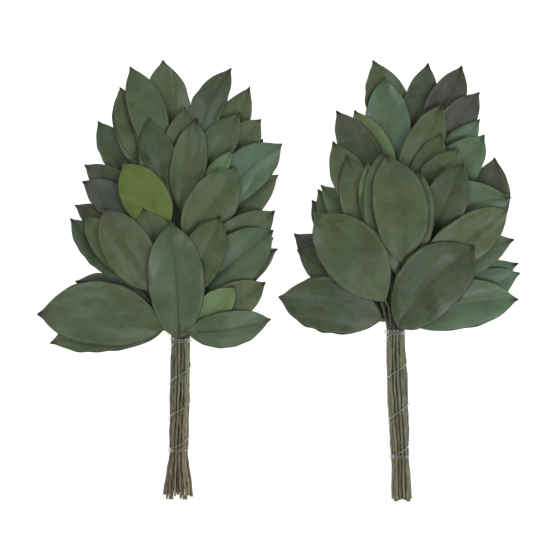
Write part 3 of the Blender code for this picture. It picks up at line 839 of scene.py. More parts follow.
class Wiring:
    """The nodes of one material, with the few kinds of link that these finishes need."""

    def __init__(self, name: str) -> None:
        """Start a material with its shader.

        Args:
            name: The material's name.
        """
        self.material = bpy.data.materials.new(name)
        self.material.use_nodes = True
        self.tree = self.material.node_tree

    def feed(self, sockets: bpy.types.NodeInputs, values: Values) -> None:
        """Give a node's inputs their numbers, their colours or other nodes' outputs.

        Args:
            sockets: The inputs.
            values: What they take, by name or by place.
        """
        for key, value in values.items():
            if isinstance(value, Socket):
                self.tree.links.new(value, sockets[key])
            else:
                sockets[key].default_value = value

    def add(self, kind: str, output: str | int, values: Values, **settings: object) -> Socket:
        """Add a node.

        Args:
            kind: Its type.
            output: The output that is wanted, by name or by place.
            values: What its inputs take.
            settings: Its properties.

        Returns:
            That output.
        """
        added = self.tree.nodes.new(kind)
        for name, value in settings.items():
            setattr(added, name, value)
        self.feed(added.inputs, values)
        return added.outputs[output]

    def shaded(self, values: Values) -> bpy.types.Material:
        """Give the shader its inputs, and return the material."""
        self.feed(self.tree.nodes["Principled BSDF"].inputs, values)
        return self.material

    def attribute(self, name: str) -> Socket:
        """Read a number that the mesh keeps at each of its points."""
        return self.add("ShaderNodeAttribute", "Fac", {}, attribute_name=name)

    def place(self) -> Socket:
        """Read the place on the object, in metres."""
        return self.add("ShaderNodeTexCoord", "Object", {})

    def math(self, operation: str, first: object, second: object = 0.0) -> Socket:
        """Work out one sum of two numbers."""
        return self.add("ShaderNodeMath", 0, {0: first, 1: second}, operation=operation)

    def plus(self, first: object, second: object) -> Socket:
        """Add two numbers."""
        return self.math("ADD", first, second)

    def times(self, first: object, second: object) -> Socket:
        """Multiply two numbers."""
        return self.math("MULTIPLY", first, second)

    def reshuffled(self, draw: Socket, times: float) -> Socket:
        """Make another number from 0 to 1 out of a leaf's or stem's own one."""
        return self.math("FRACT", self.times(draw, times))

    def faded(self, value: object, fade: Fade) -> Socket:
        """Ease from one number to another by a value."""
        return self.add("ShaderNodeMapRange", "Result", {
            "Value": value,
            "From Min": fade.low,
            "From Max": fade.high,
            "To Min": fade.start,
            "To Max": fade.end,
        }, interpolation_type="SMOOTHSTEP")

    def mix(self, share: object, first: object, second: object, blend: str = "MIX") -> Socket:
        """Mix two colours.

        Args:
            share: The share of the second one.
            first: The first colour.
            second: The second colour.
            blend: How they are mixed.

        Returns:
            The mixed colour.
        """
        first, second = (value if isinstance(value, Socket) else (*value, 1.0) for value in (first, second))
        values = {"Factor": share, 6: first, 7: second}
        return self.add("ShaderNodeMix", 2, values, data_type="RGBA", blend_type=blend)

    def over(self, colour: object, other: object, share: object, most: float) -> Socket:
        """Lay another colour over a colour, by a share of the most that it may cover."""
        return self.mix(self.times(share, most), colour, other)

    def cloud(self, cloud: Cloud, vector: Socket | None = None) -> Socket:
        """Add a soft noise.

        Args:
            cloud: The noise.
            vector: Where it is read, or nothing for the place on the object.

        Returns:
            The noise, from 0 to 1 before its easing.
        """
        noise = self.add("ShaderNodeTexNoise", "Fac", {
            "Vector": vector or self.place(),
            "Scale": cloud.scale,
            "Detail": cloud.layers,
            "Roughness": cloud.strength,
            "Distortion": cloud.swirl,
        })
        return self.faded(noise, cloud.fade) if cloud.fade else noise

    def joined(self, x: object, y: object, z: object) -> Socket:
        """Join three values to one vector."""
        return self.add("ShaderNodeCombineXYZ", "Vector", {0: x, 1: y, 2: z})

    def stretched(self, vector: object, scale: Triple) -> Socket:
        """Scale a place along its three axes."""
        return self.add("ShaderNodeMapping", "Vector", {"Vector": vector, "Scale": scale})

    def bump(self, height: object, strength: float, depth: float, under: Socket | None = None) -> Socket:
        """Turn heights into a relief.

        Args:
            height: The heights, from 0 to 1.
            strength: How strong the relief is.
            depth: Its depth in metres.
            under: A relief under this one.

        Returns:
            The relief's normal.
        """
        values = {"Height": height, "Strength": strength, "Distance": depth}
        if under is not None:
            values["Normal"] = under
        return self.add("ShaderNodeBump", "Normal", values)


def tinted(colour: Colour, factor: Colour) -> Colour:
    """Multiply a colour by a factor for each of its channels."""
    return tuple(channel * share for channel, share in zip(colour, factor))


@dataclass(frozen=True)
class LeafFinish:
    """The skin of a dyed leaf: uneven green, a painted sheen, lighter veins, a pale edge band that is partly
    a painted highlight, a painted shade along the fold and a dark edge.

    Veins, midrib and the painted shade along the fold are read in millimetres, and the other easings in
    shares of the leaf's length or half width. A cast is multiplied with a colour.
    """

    tone: Tone
    green: Colour
    painted_sheen_share: float = 0.30
    painted_crease_shade: float = 0.12
    ageing: float = 0.36
    vein: Colour = (0.120, 0.145, 0.085)
    # The dark edge colour also darkens the darker clouds and is the colour of the painted shade along the
    # fold
    edge: Colour = (0.022, 0.026, 0.016)
    tip: Colour = (0.026, 0.022, 0.016)
    aged: Colour = (0.100, 0.088, 0.056)
    # The pale edge band's colour: partly the leaf's own paler edge, partly a painted highlight along it
    pale_margin_and_highlight: Colour = (0.230, 0.265, 0.180)
    painted_sheen: Colour = (0.305, 0.395, 0.335)
    lighter: Colour = (0.20, 0.24, 0.18)
    patch: Colour = (0.17, 0.20, 0.14)
    speck: Colour = (0.24, 0.27, 0.22)
    olive_cast: Colour = (1.08, 1.00, 0.87)
    bluish_cast: Colour = (0.90, 1.05, 1.04)
    stalk_cast: Colour = (0.80, 0.75, 0.62)
    under_cast: Colour = (1.55, 1.48, 1.70)

    dye: Cloud = Cloud(38.0, 2.0, 0.5, 0.6)
    dye_of_leaf: Fade = Fade(0.0, 1.0, -0.08, 0.08)
    dye_fade: Fade = Fade(0.28, 0.72)
    aged_cloud: Cloud = Cloud(31.0, 3.0, 0.5, 0.8, Fade(0.56, 0.72))
    light_cloud: Cloud = Cloud(75.0, 3.0, 0.55, 0.5, Fade(0.30, 0.72))
    darker_share: float = 0.25
    lighter_share: float = 0.17
    patch_cloud: Cloud = Cloud(260.0, 4.0, 0.6, 0.0, Fade(0.38, 0.72))
    patch_share: float = 0.10
    speck_cloud: Cloud = Cloud(1300.0, 3.0, 0.7, 0.0, Fade(0.46, 0.74))
    speck_share: float = 0.11

    # The painted sheen: its pale streaks along the leaf, and the clouds that gather them into patches
    sheen_streak_across: float = 0.105
    sheen_streak_along: float = 0.024
    sheen_streak_of_leaf: float = 57.0
    sheen_streak_cloud: Cloud = Cloud(1.0, 3.0, 0.48, 0.4, Fade(0.46, 0.72))
    painted_sheen_cloud: Cloud = Cloud(24.0, 2.0, fade=Fade(0.44, 0.62, 0.12, 1.0))

    vein_spacing: float = 5.5
    vein_slant: float = 0.85
    vein_bend: float = 5.0
    vein_cloud: Cloud = Cloud(120.0, 2.0)
    vein_line: Fade = Fade(0.0, 0.60, 1.0, 0.0)
    vein_to_edge: Fade = Fade(0.50, 0.90, 1.0, 0.0)
    vein_from_stalk: Fade = Fade(0.10, 0.22)
    vein_share: float = 0.075
    midrib_line: Fade = Fade(0.20, 0.85, 1.0, 0.0)
    midrib_along: Fade = Fade(0.25, 0.90, 0.24, 0.03)
    # The painted shade along the fold: read in millimetres beside the midrib and in shares along the leaf
    crease_shade_line: Fade = Fade(0.20, 0.95, 1.0, 0.0)
    crease_shade_beside: Fade = Fade(0.5, 3.4, 0.30, 0.0)
    crease_shade_along: Fade = Fade(0.15, 0.95, 1.0, 0.35)
    stalk_fade: Fade = Fade(0.03, 0.12, 0.55, 0.0)

    ragged: float = 0.06
    ragged_cloud: Cloud = Cloud(420.0, 2.0)
    # Where the pale edge band lies, partly the leaf's own paler edge and partly a painted highlight
    margin_and_highlight_inside: Fade = Fade(0.86, 0.94)
    margin_and_highlight_outside: Fade = Fade(0.95, 0.99, 1.0, 0.0)
    margin_and_highlight_cloud: Cloud = Cloud(60.0, 2.0, fade=Fade(0.35, 0.65, 0.02, 0.28))
    rim: Fade = Fade(0.945, 1.02, 0.0, 0.65)
    rim_from_stalk: Fade = Fade(0.06, 0.14)
    dried: Fade = Fade(0.925, 0.998, 0.0, 0.75)
    dried_ragged: float = 0.03
    dried_of_leaf: Fade = Fade(0.0, 1.0, 0.35, 1.0)
    dried_shuffle: float = 5.7

    under_share: float = 0.65
    roughness: Fade = Fade(0.0, 1.0, 0.41, 0.57)
    under_roughness: float = 0.15
    gloss: float = 0.26
    grain: Cloud = Cloud(700.0, 4.0, 0.62)
    grain_relief: Pair = (0.34, 0.00030)
    vein_relief: Pair = (0.25, 0.00016)

    def dyed(self, make: Wiring) -> tuple[Socket, Socket, Socket]:
        """Dye the leaf unevenly: olive, bluish and aged patches, lighter clouds, and fine dust.

        Args:
            make: The material's wiring.

        Returns:
            The colour, the lighter clouds and the fine patches.
        """
        own = make.faded(make.attribute("leaf_draw"), self.dye_of_leaf)
        casts = tinted(self.green, self.olive_cast), tinted(self.green, self.bluish_cast)
        colour = make.mix(make.faded(make.plus(make.cloud(self.dye), own), self.dye_fade), *casts)
        colour = make.over(colour, self.aged, make.cloud(self.aged_cloud), self.ageing)
        clouds = make.cloud(self.light_cloud)
        darker = make.mix(self.darker_share, colour, self.edge)
        colour = make.mix(clouds, darker, make.mix(self.lighter_share, colour, self.lighter))
        patches = make.cloud(self.patch_cloud)
        colour = make.over(colour, self.patch, patches, self.patch_share)
        colour = make.over(colour, self.speck, make.cloud(self.speck_cloud), self.speck_share)
        return colour, clouds, patches

    def sheened(self, make: Wiring, colour: Socket) -> Socket:
        """Lay a painted sheen: pale, waxy-looking streaks along the leaf that stand in for soft highlights.

        Args:
            make: The material's wiring.
            colour: The colour so far.

        Returns:
            The colour with its painted sheen.
        """
        # Painted sheen: pale streaks along the leaf, mixed into the colour in place of soft highlights
        streaks = make.joined(make.times(make.attribute("across_mm"), self.sheen_streak_across),
                              make.times(make.attribute("run_mm"), self.sheen_streak_along),
                              make.times(make.attribute("leaf_draw"), self.sheen_streak_of_leaf))
        sheen_mask = make.times(make.cloud(self.sheen_streak_cloud, streaks), make.cloud(self.painted_sheen_cloud))
        return make.over(colour, self.painted_sheen, sheen_mask, self.painted_sheen_share)

    def veined(self, make: Wiring, colour: Socket) -> tuple[Socket, Socket]:
        """Draw the veins, which leave the midrib slanting forward and fade before the edge, and the midrib.

        The midrib and a strip beside it are darkened with a painted shade of the fold, and the midrib is
        paler near the stalk.

        Args:
            make: The material's wiring.
            colour: The colour so far.

        Returns:
            The colour with its veins, and where the side veins are.
        """
        side = make.attribute("side_mm")
        share = make.attribute("run_share")
        slanted = make.math("SUBTRACT", make.attribute("run_mm"), make.times(side, self.vein_slant))
        bent = make.plus(slanted, make.times(make.cloud(self.vein_cloud), self.vein_bend))
        vein = make.faded(make.math("PINGPONG", bent, self.vein_spacing / 2), self.vein_line)
        vein = make.times(vein, make.faded(make.attribute("across_share"), self.vein_to_edge))
        vein = make.times(vein, make.faded(share, self.vein_from_stalk))
        colour = make.over(colour, self.vein, vein, self.vein_share)
        midrib = make.times(make.faded(side, self.midrib_line), make.faded(share, self.midrib_along))
        colour = make.mix(midrib, colour, self.vein)
        # Painted shade: the midrib and the strip beside it are darkened as if shaded by the fold
        shade = make.math("MAXIMUM", make.faded(side, self.crease_shade_line), make.faded(side, self.crease_shade_beside))
        folded = make.times(shade, make.faded(share, self.crease_shade_along))
        colour = make.over(colour, self.edge, folded, self.painted_crease_shade)
        stalk = make.faded(share, self.stalk_fade)
        return make.mix(stalk, colour, tinted(self.vein, self.stalk_cast)), vein

    def edged(self, make: Wiring, colour: Socket, patches: Socket) -> Socket:
        """Draw the pale edge band, partly the leaf's own paler edge and partly a painted highlight, then the
        thin dark edge and the dried tip.

        Args:
            make: The material's wiring.
            colour: The colour so far.
            patches: The fine patches, which fray the tip.

        Returns:
            The colour with its edge.
        """
        share = make.attribute("run_share")
        frayed = make.times(make.cloud(self.ragged_cloud), self.ragged)
        across = make.plus(make.attribute("across_share"), frayed)
        # Pale edge band: partly the leaf's own paler edge, partly a painted highlight along it
        pale_margin_and_highlight = make.times(make.faded(across, self.margin_and_highlight_inside), make.faded(across, self.margin_and_highlight_outside))
        colour = make.mix(make.times(pale_margin_and_highlight, make.cloud(self.margin_and_highlight_cloud)), colour, self.pale_margin_and_highlight)
        rim = make.times(make.faded(across, self.rim), make.faded(share, self.rim_from_stalk))
        colour = make.mix(rim, colour, self.edge)
        dried = make.faded(make.plus(share, make.times(patches, self.dried_ragged)), self.dried)
        own = make.reshuffled(make.attribute("leaf_draw"), self.dried_shuffle)
        return make.mix(make.times(dried, make.faded(own, self.dried_of_leaf)), colour, self.tip)

    def material(self) -> bpy.types.Material:
        """Make the leaf's material.

        Returns:
            The material.
        """
        make = Wiring(self.tone.value)
        colour, clouds, patches = self.dyed(make)
        colour, vein = self.veined(make, self.sheened(make, colour))
        colour = self.edged(make, colour, patches)
        under = make.attribute("underside")
        grain = make.bump(make.cloud(self.grain), *self.grain_relief)
        rougher = make.times(under, self.under_roughness)
        return make.shaded({
            "Base Color": make.over(colour, tinted(self.green, self.under_cast), under, self.under_share),
            "Roughness": make.plus(make.faded(clouds, self.roughness), rougher),
            "Specular IOR Level": self.gloss,
            "Normal": make.bump(make.math("SUBTRACT", 1.0, vein), *self.vein_relief, grain),
        })


@dataclass(frozen=True)
class BarkFinish:
    """The thin bark of the stems: olive, straw, brown or mauve grey, streaked and cracked lengthwise."""

    name: str = "stem_bark"
    olive: Colour = (0.140, 0.140, 0.074)
    straw: Colour = (0.340, 0.310, 0.185)
    brown: Colour = (0.105, 0.076, 0.050)
    mauve: Colour = (0.180, 0.158, 0.150)
    pale: Colour = (0.520, 0.490, 0.390)
    dark: Colour = (0.022, 0.018, 0.013)
    upper_stem_dark: Colour = (0.045, 0.048, 0.028)
    green_cast: Colour = (1.05, 1.12, 1.00)
    brown_cast: Colour = (1.20, 1.00, 0.92)

    to_olive: Fade = Fade(0.20, 0.30)
    to_mauve: Fade = Fade(0.48, 0.56)
    to_straw: Fade = Fade(0.70, 0.78)
    lengthwise: Triple = (1.0, 0.07, 1.0)
    streaks: Cloud = Cloud(1500.0, 4.0, 0.7, 0.0, Fade(0.38, 0.66))
    streak_share: float = 0.46
    cracks: Cloud = Cloud(3100.0, 3.0, 0.7, 0.0, Fade(0.34, 0.47, 1.0, 0.0))
    crack_share: float = 0.80
    blotches: Cloud = Cloud(190.0, 3.0, 0.6, 0.0, Fade(0.36, 0.64))
    blotch_share: float = 0.30
    scars: Cloud = Cloud(900.0, 2.0, 0.6, 0.0, Fade(0.60, 0.70))
    scar_share: float = 0.35
    shade: Fade = Fade(0.25, 0.95, 0.0, 0.50)
    shade_shuffle: float = 7.3
    browned_up_to: Fade = Fade(30.0, 85.0, 1.0, 0.0)
    browned_ragged: float = 24.0
    upper_stem_darkening: Fade = Fade(0.0, 0.10, 0.0, 0.80)
    roughness: float = 0.68
    gloss: float = 0.35
    grain: Cloud = Cloud(1400.0, 3.0, 0.6)
    streak_relief: Pair = (0.55, 0.00025)
    grain_relief: Pair = (0.35, 0.00015)

    def material(self) -> bpy.types.Material:
        """Make the bark's material.

        Returns:
            The material.
        """
        make = Wiring(self.name)
        own = make.attribute("leaf_draw")
        along = make.stretched(make.place(), self.lengthwise)
        streaks = make.cloud(self.streaks, along)
        blotches = make.cloud(self.blotches)
        colour = self.brown
        kinds = (self.olive, self.to_olive), (self.mauve, self.to_mauve), (self.straw, self.to_straw)
        for kind, fade in kinds:
            colour = make.mix(make.faded(own, fade), colour, kind)
        colour = make.over(colour, self.mauve, blotches, self.blotch_share)
        shade = make.faded(make.reshuffled(own, self.shade_shuffle), self.shade)
        colour = make.mix(shade, colour, self.dark)
        colour = make.over(colour, self.pale, streaks, self.streak_share)
        low = make.plus(make.attribute("run_mm"), make.times(blotches, self.browned_ragged))
        browned = make.times(make.faded(low, self.browned_up_to), make.attribute("browned"))
        colour = make.mix(1.0, colour, make.mix(browned, self.green_cast, self.brown_cast), "MULTIPLY")
        colour = make.over(colour, self.dark, make.cloud(self.cracks, along), self.crack_share)
        colour = make.over(colour, self.pale, make.cloud(self.scars), self.scar_share)
        # The stems turn darker and greener above the tie
        colour = make.mix(make.faded(make.attribute("run_share"), self.upper_stem_darkening), colour, self.upper_stem_dark)
        relief = make.bump(streaks, *self.streak_relief)
        return make.shaded({
            "Base Color": colour,
            "Roughness": self.roughness,
            "Specular IOR Level": self.gloss,
            "Normal": make.bump(make.cloud(self.grain), *self.grain_relief, relief),
        })


@dataclass(frozen=True)
class CutWoodFinish:
    """The pale wood of a slanting cut."""

    name: str = "cut_wood"
    wood: Colour = (0.300, 0.240, 0.150)
    stained: Colour = (0.110, 0.080, 0.050)
    stain: Cloud = Cloud(1300.0, 3.0, 0.6, 0.0, Fade(0.35, 0.7))
    roughness: float = 0.8
    grain: Cloud = Cloud(3000.0)
    grain_relief: Pair = (0.4, 0.0001)

    def material(self) -> bpy.types.Material:
        """Make the cut wood's material."""
        make = Wiring(self.name)
        return make.shaded({
            "Base Color": make.mix(make.cloud(self.stain), self.wood, self.stained),
            "Roughness": self.roughness,
            "Normal": make.bump(make.cloud(self.grain), *self.grain_relief),
        })


@dataclass(frozen=True)
class ThreadFinish:
    """The clear binding thread, which catches white lights."""

    name: str = "clear_thread"
    tint: Colour = (0.86, 0.88, 0.86)
    cloudy: Colour = (0.70, 0.73, 0.70)
    clouding: Cloud = Cloud(800.0, 2.0, fade=Fade(0.4, 0.7))
    roughness: float = 0.10
    clearness: float = 0.88
    bend: float = 1.5
    grain: Cloud = Cloud(2500.0, 2.0)
    grain_relief: Pair = (0.15, 0.0001)

    def material(self) -> bpy.types.Material:
        """Make the thread's material."""
        make = Wiring(self.name)
        return make.shaded({
            "Base Color": make.mix(make.cloud(self.clouding), self.tint, self.cloudy),
            "Roughness": self.roughness,
            "Transmission Weight": self.clearness,
            "IOR": self.bend,
            "Normal": make.bump(make.cloud(self.grain), *self.grain_relief),
        })


@dataclass(frozen=True)
class PaperFinish:
    """The white sheet under the bunches, lit so brightly that it shows no shade."""

    name: str = "white_sheet"
    white: Colour = (0.90, 0.90, 0.90)
    fibre: Colour = (0.86, 0.86, 0.86)
    fibres: Cloud = Cloud(300.0, fade=Fade(0.3, 0.7, 0.0, 0.02))
    roughness: float = 0.9
    gloss: float = 0.1
    light: Colour = (1.0, 1.0, 1.0)
    glow: float = 0.75

    def material(self) -> bpy.types.Material:
        """Make the sheet's material."""
        make = Wiring(self.name)
        return make.shaded({
            "Base Color": make.mix(make.cloud(self.fibres), self.white, self.fibre),
            "Roughness": self.roughness,
            "Specular IOR Level": self.gloss,
            "Emission Color": (*self.light, 1.0),
            "Emission Strength": self.glow,
        })


# Each tone's green, and its share of painted sheen and of painted shade along the fold
LEAF_FINISHES = (
    LeafFinish(Tone.MID, (0.087, 0.122, 0.051)),
    LeafFinish(Tone.OLIVE, (0.098, 0.121, 0.049)),
    LeafFinish(Tone.TEAL, (0.092, 0.170, 0.098), painted_sheen_share=0.56),
    LeafFinish(Tone.BLUE, (0.086, 0.135, 0.069), painted_sheen_share=0.38, painted_crease_shade=0.58),
    LeafFinish(Tone.SLATE, (0.061, 0.063, 0.053), painted_sheen_share=0.15),
    LeafFinish(Tone.BROWN, (0.057, 0.066, 0.032), painted_sheen_share=0.12),
    LeafFinish(Tone.LIME, (0.144, 0.205, 0.027), vein=(0.17, 0.21, 0.07), painted_sheen_share=0.05, ageing=0.10),
    LeafFinish(Tone.PALE, (0.158, 0.256, 0.104), vein=(0.16, 0.21, 0.12), painted_sheen_share=0.10),
    LeafFinish(Tone.DEEP, (0.048, 0.073, 0.029), painted_sheen_share=0.20),
)


class Palette:
    """The materials of the bunches, each made once."""

    def __init__(self) -> None:
        """Make every material."""
        self.leaves = {finish.tone: finish.material() for finish in LEAF_FINISHES}
        self.bark = BarkFinish().material()
        self.cut = CutWoodFinish().material()
        self.thread = ThreadFinish().material()


class Shell:
    """A mesh that is shaped sheet by sheet, with the numbers that its materials read at each point."""

    NUMBERS = ("side_mm", "across_mm", "run_mm", "run_share", "across_share", "leaf_draw", "underside",
               "browned")
    SAME_PLACE = 2e-6

    def __init__(self, name: str) -> None:
        """Start an empty mesh.

        Args:
            name: The piece's name.
        """
        self.name = name
        self.mesh = bmesh.new()
        self.mesh.loops.layers.uv.new("run_and_round")
        self.layers = {number: self.mesh.verts.layers.float.new(number) for number in self.NUMBERS}
        self.materials: list[bpy.types.Material] = []

    def material_slot(self, material: bpy.types.Material) -> int:
        """Find the slot of a material, adding it if it is new.

        Args:
            material: The material.

        Returns:
            The slot's number.
        """
        if material not in self.materials:
            self.materials.append(material)
        return self.materials.index(material)

    def sheet(self, along: int, around: int) -> tuple[Points, np.ndarray, np.ndarray]:
        """Add a flat sheet, which is to be rolled into a closed shape.

        Args:
            along: How many faces it has from one end to the other.
            around: How many faces it has round its section.

        Returns:
            Its points, and the row and the column of each.
        """
        points = bmesh.ops.create_grid(self.mesh, x_segments=along, y_segments=around, size=1.0,
                                       calc_uvs=True)["verts"]
        rows = np.array([round((point.co.x + 1) / 2 * along) for point in points])
        columns = np.array([round((point.co.y + 1) / 2 * around) for point in points])
        return points, rows, columns

    def tube(self, line: np.ndarray, around: int,
             aside: Triple) -> tuple[Points, np.ndarray, np.ndarray, np.ndarray]:
        """Add a flat sheet, which is to be rolled round a line.

        Args:
            line: The line's points.
            around: How many faces it has round the line.
            aside: A direction that the line never follows.

        Returns:
            Its points, and the row, the angle and the outward direction of each.
        """
        heading = np.gradient(line, axis=0)
        heading /= np.linalg.norm(heading, axis=1)[:, None]
        sideways = np.cross(heading, aside)
        sideways /= np.linalg.norm(sideways, axis=1)[:, None]
        upwards = np.cross(sideways, heading)
        points, rows, columns = self.sheet(len(line) - 1, around)
        angle = 2 * math.pi * columns / around
        out = sideways[rows] * np.cos(angle)[:, None] + upwards[rows] * np.sin(angle)[:, None]
        return points, rows, angle, out

    def place(self, points: Points, places: np.ndarray, numbers: dict[str, np.ndarray]) -> None:
        """Put points in their places and note the numbers that the materials read there.

        Args:
            points: The points.
            places: Their places in metres.
            numbers: The numbers at each point, by name.
        """
        for point, where in zip(points, places.tolist()):
            point.co = where
        for name, values in numbers.items():
            layer = self.layers[name]
            for point, value in zip(points, values.tolist()):
                point[layer] = value

    def dress(self, points: Points, material: bpy.types.Material) -> None:
        """Give the faces of a sheet their material.

        Args:
            points: The sheet's points.
            material: The material.
        """
        slot = self.material_slot(material)
        for point in points:
            for face in point.link_faces:
                face.material_index = slot
                face.smooth = True

    def weld(self, points: Points) -> None:
        """Close the seam and the ends of a rolled sheet."""
        bmesh.ops.remove_doubles(self.mesh, verts=points, dist=self.SAME_PLACE)

    def cap(self, first: Points, material: bpy.types.Material, rind: float) -> None:
        """Close the open end of a tube with a flat face inside a narrow rind.

        Args:
            first: The points that were in the tube's first row before it was welded.
            material: The material of the face.
            rind: How wide the rind is, in metres.
        """
        edges = {edge for point in first if point.is_valid for edge in point.link_edges}
        rim = [edge for edge in edges if edge.is_boundary]
        faces = bmesh.ops.contextual_create(self.mesh, geom=rim)["faces"]
        bmesh.ops.inset_region(self.mesh, faces=faces, thickness=rind, depth=0.0)
        slot = self.material_slot(material)
        for face in faces:
            face.material_index = slot
            face.smooth = False

    def split_corners(self) -> None:
        """Split the two faces at each sharp corner of a leaf, so that no two triangles lie back to back."""
        inner = [point for point in self.mesh.verts if not point.is_boundary]
        corners = [point for point in inner if len(point.link_faces) == 2]
        for corner in corners:
            for loop in list(corner.link_loops):
                if len(loop.face.verts) == 4:
                    bmesh.utils.face_split(loop.face, corner, loop.link_loop_next.link_loop_next.vert)

    def finish(self) -> bpy.types.Object:
        """Turn the mesh into an object at the origin.

        Returns:
            The object.
        """
        self.split_corners()
        bmesh.ops.recalc_face_normals(self.mesh, faces=self.mesh.faces)
        mesh = bpy.data.meshes.new(self.name)
        self.mesh.to_mesh(mesh)
        self.mesh.free()
        for material in self.materials:
            mesh.materials.append(material)
        piece = bpy.data.objects.new(self.name, mesh)
        bpy.context.scene.collection.objects.link(piece)
        return piece


class Room:
    """How far each leaf of a laid bunch may bulge before it meets what lies over or under it."""

    CELL = 1.0
    MOST = 3.0
    MARGIN = 0.30
    REACH = 2
    SOFTENINGS = 2
    HEADROOM = 0.05
    STEM_SIDES = (-0.6, 0.0, 0.6)

    def __init__(self, blades: list[Blade], stem_points: np.ndarray, top: float) -> None:
        """Sort what lies over each cell of the surface.

        Args:
            blades: The leaves at rest.
            stem_points: Close points of the stems' centre lines.
            top: The greatest height that a leaf may reach.
        """
        self.shape = (int(GRID_COLUMNS * GRID_CELL / self.CELL), int(GRID_ROWS * GRID_CELL / self.CELL))
        rows = []
        for owner, blade in enumerate(blades):
            cells, order = np.unique(self.cell(blade.x, blade.y), return_inverse=True)
            lows = np.full(len(cells), np.inf)
            highs = -lows
            np.minimum.at(lows, order, blade.z)
            np.maximum.at(highs, order, blade.z)
            rows.append((cells, np.full(len(cells), owner), lows, highs))
        heights = stem_points[:, 2]
        for side in self.STEM_SIDES:
            cells = self.cell(stem_points[:, 0] + side, stem_points[:, 1])
            rows.append((cells, np.full(len(cells), -1), heights - STEM_RADIUS, heights + STEM_RADIUS))
        cells, owners, lows, highs = (np.concatenate(values) for values in zip(*rows))
        order = np.lexsort(((lows + highs) / 2, cells))
        self.cells, self.owners, lows, highs = (values[order] for values in (cells, owners, lows, highs))
        same = self.cells[1:] == self.cells[:-1]
        gap = np.maximum(lows[1:] - highs[:-1] - self.MARGIN, 0.0) / 2
        self.up = top + self.HEADROOM - highs
        self.up[:-1] = np.where(same, gap, self.up[:-1])
        self.down = lows - self.MARGIN
        self.down[1:] = np.where(same, gap, self.down[1:])

    def cell(self, x: np.ndarray, y: np.ndarray) -> np.ndarray:
        """Number the cells under points."""
        column = np.floor((x - GRID_WEST) / self.CELL).astype(int)
        return column * self.shape[1] + np.floor((y - GRID_SOUTH) / self.CELL).astype(int)

    def spread(self, owner: int, values: np.ndarray) -> np.ndarray:
        """Lay one leaf's room out over the surface, with the least of the room near each cell, softened.

        Args:
            owner: The leaf's number.
            values: The room at each sorted cell.

        Returns:
            The room on the grid.
        """
        mine = self.owners == owner
        grid = np.full(self.shape[0] * self.shape[1], self.MOST)
        np.minimum.at(grid, self.cells[mine], np.clip(values[mine], 0.0, self.MOST))
        grid = grid.reshape(self.shape)
        for axis in (0, 1):
            least = grid.copy()
            for step in range(-self.REACH, self.REACH + 1):
                least = np.minimum(least, np.roll(grid, step, axis=axis))
            grid = least
        for _ in range(self.SOFTENINGS):
            for axis in (0, 1):
                grid = (np.roll(grid, 1, axis=axis) + grid + np.roll(grid, -1, axis=axis)) / 3
        return grid

    def at(self, owner: int, x: np.ndarray, y: np.ndarray) -> tuple[np.ndarray, np.ndarray]:
        """Find the room of a leaf at points of it.

        Args:
            owner: The leaf's number.
            x: The points' places across the bunch.
            y: The points' places up the bunch.

        Returns:
            The room above and the room below.
        """
        column = (x - GRID_WEST) / self.CELL - 0.5
        row = (y - GRID_SOUTH) / self.CELL - 0.5
        c0 = np.floor(column).astype(int)
        r0 = np.floor(row).astype(int)
        c1 = column - c0
        r1 = row - r0
        found = []
        for values in (self.up, self.down):
            grid = self.spread(owner, values)
            found.append((grid[c0, r0] * (1 - c1) + grid[c0 + 1, r0] * c1) * (1 - r1)
                         + (grid[c0, r0 + 1] * (1 - c1) + grid[c0 + 1, r0 + 1] * c1) * r1)
        return found[0], found[1]


def squeezed(lift: np.ndarray, up: np.ndarray, down: np.ndarray) -> np.ndarray:
    """Hold a relief softly within its room above and below."""
    room = np.maximum(np.where(lift > 0, up, down), LEAST_ROOM)
    return room * np.tanh(lift / room)


@dataclass(frozen=True)
class Setting:
    """What the pieces of one bunch share: the materials, the leaves' room and the bunch's place in mm."""

    palette: Palette
    room: Room
    shift: np.ndarray


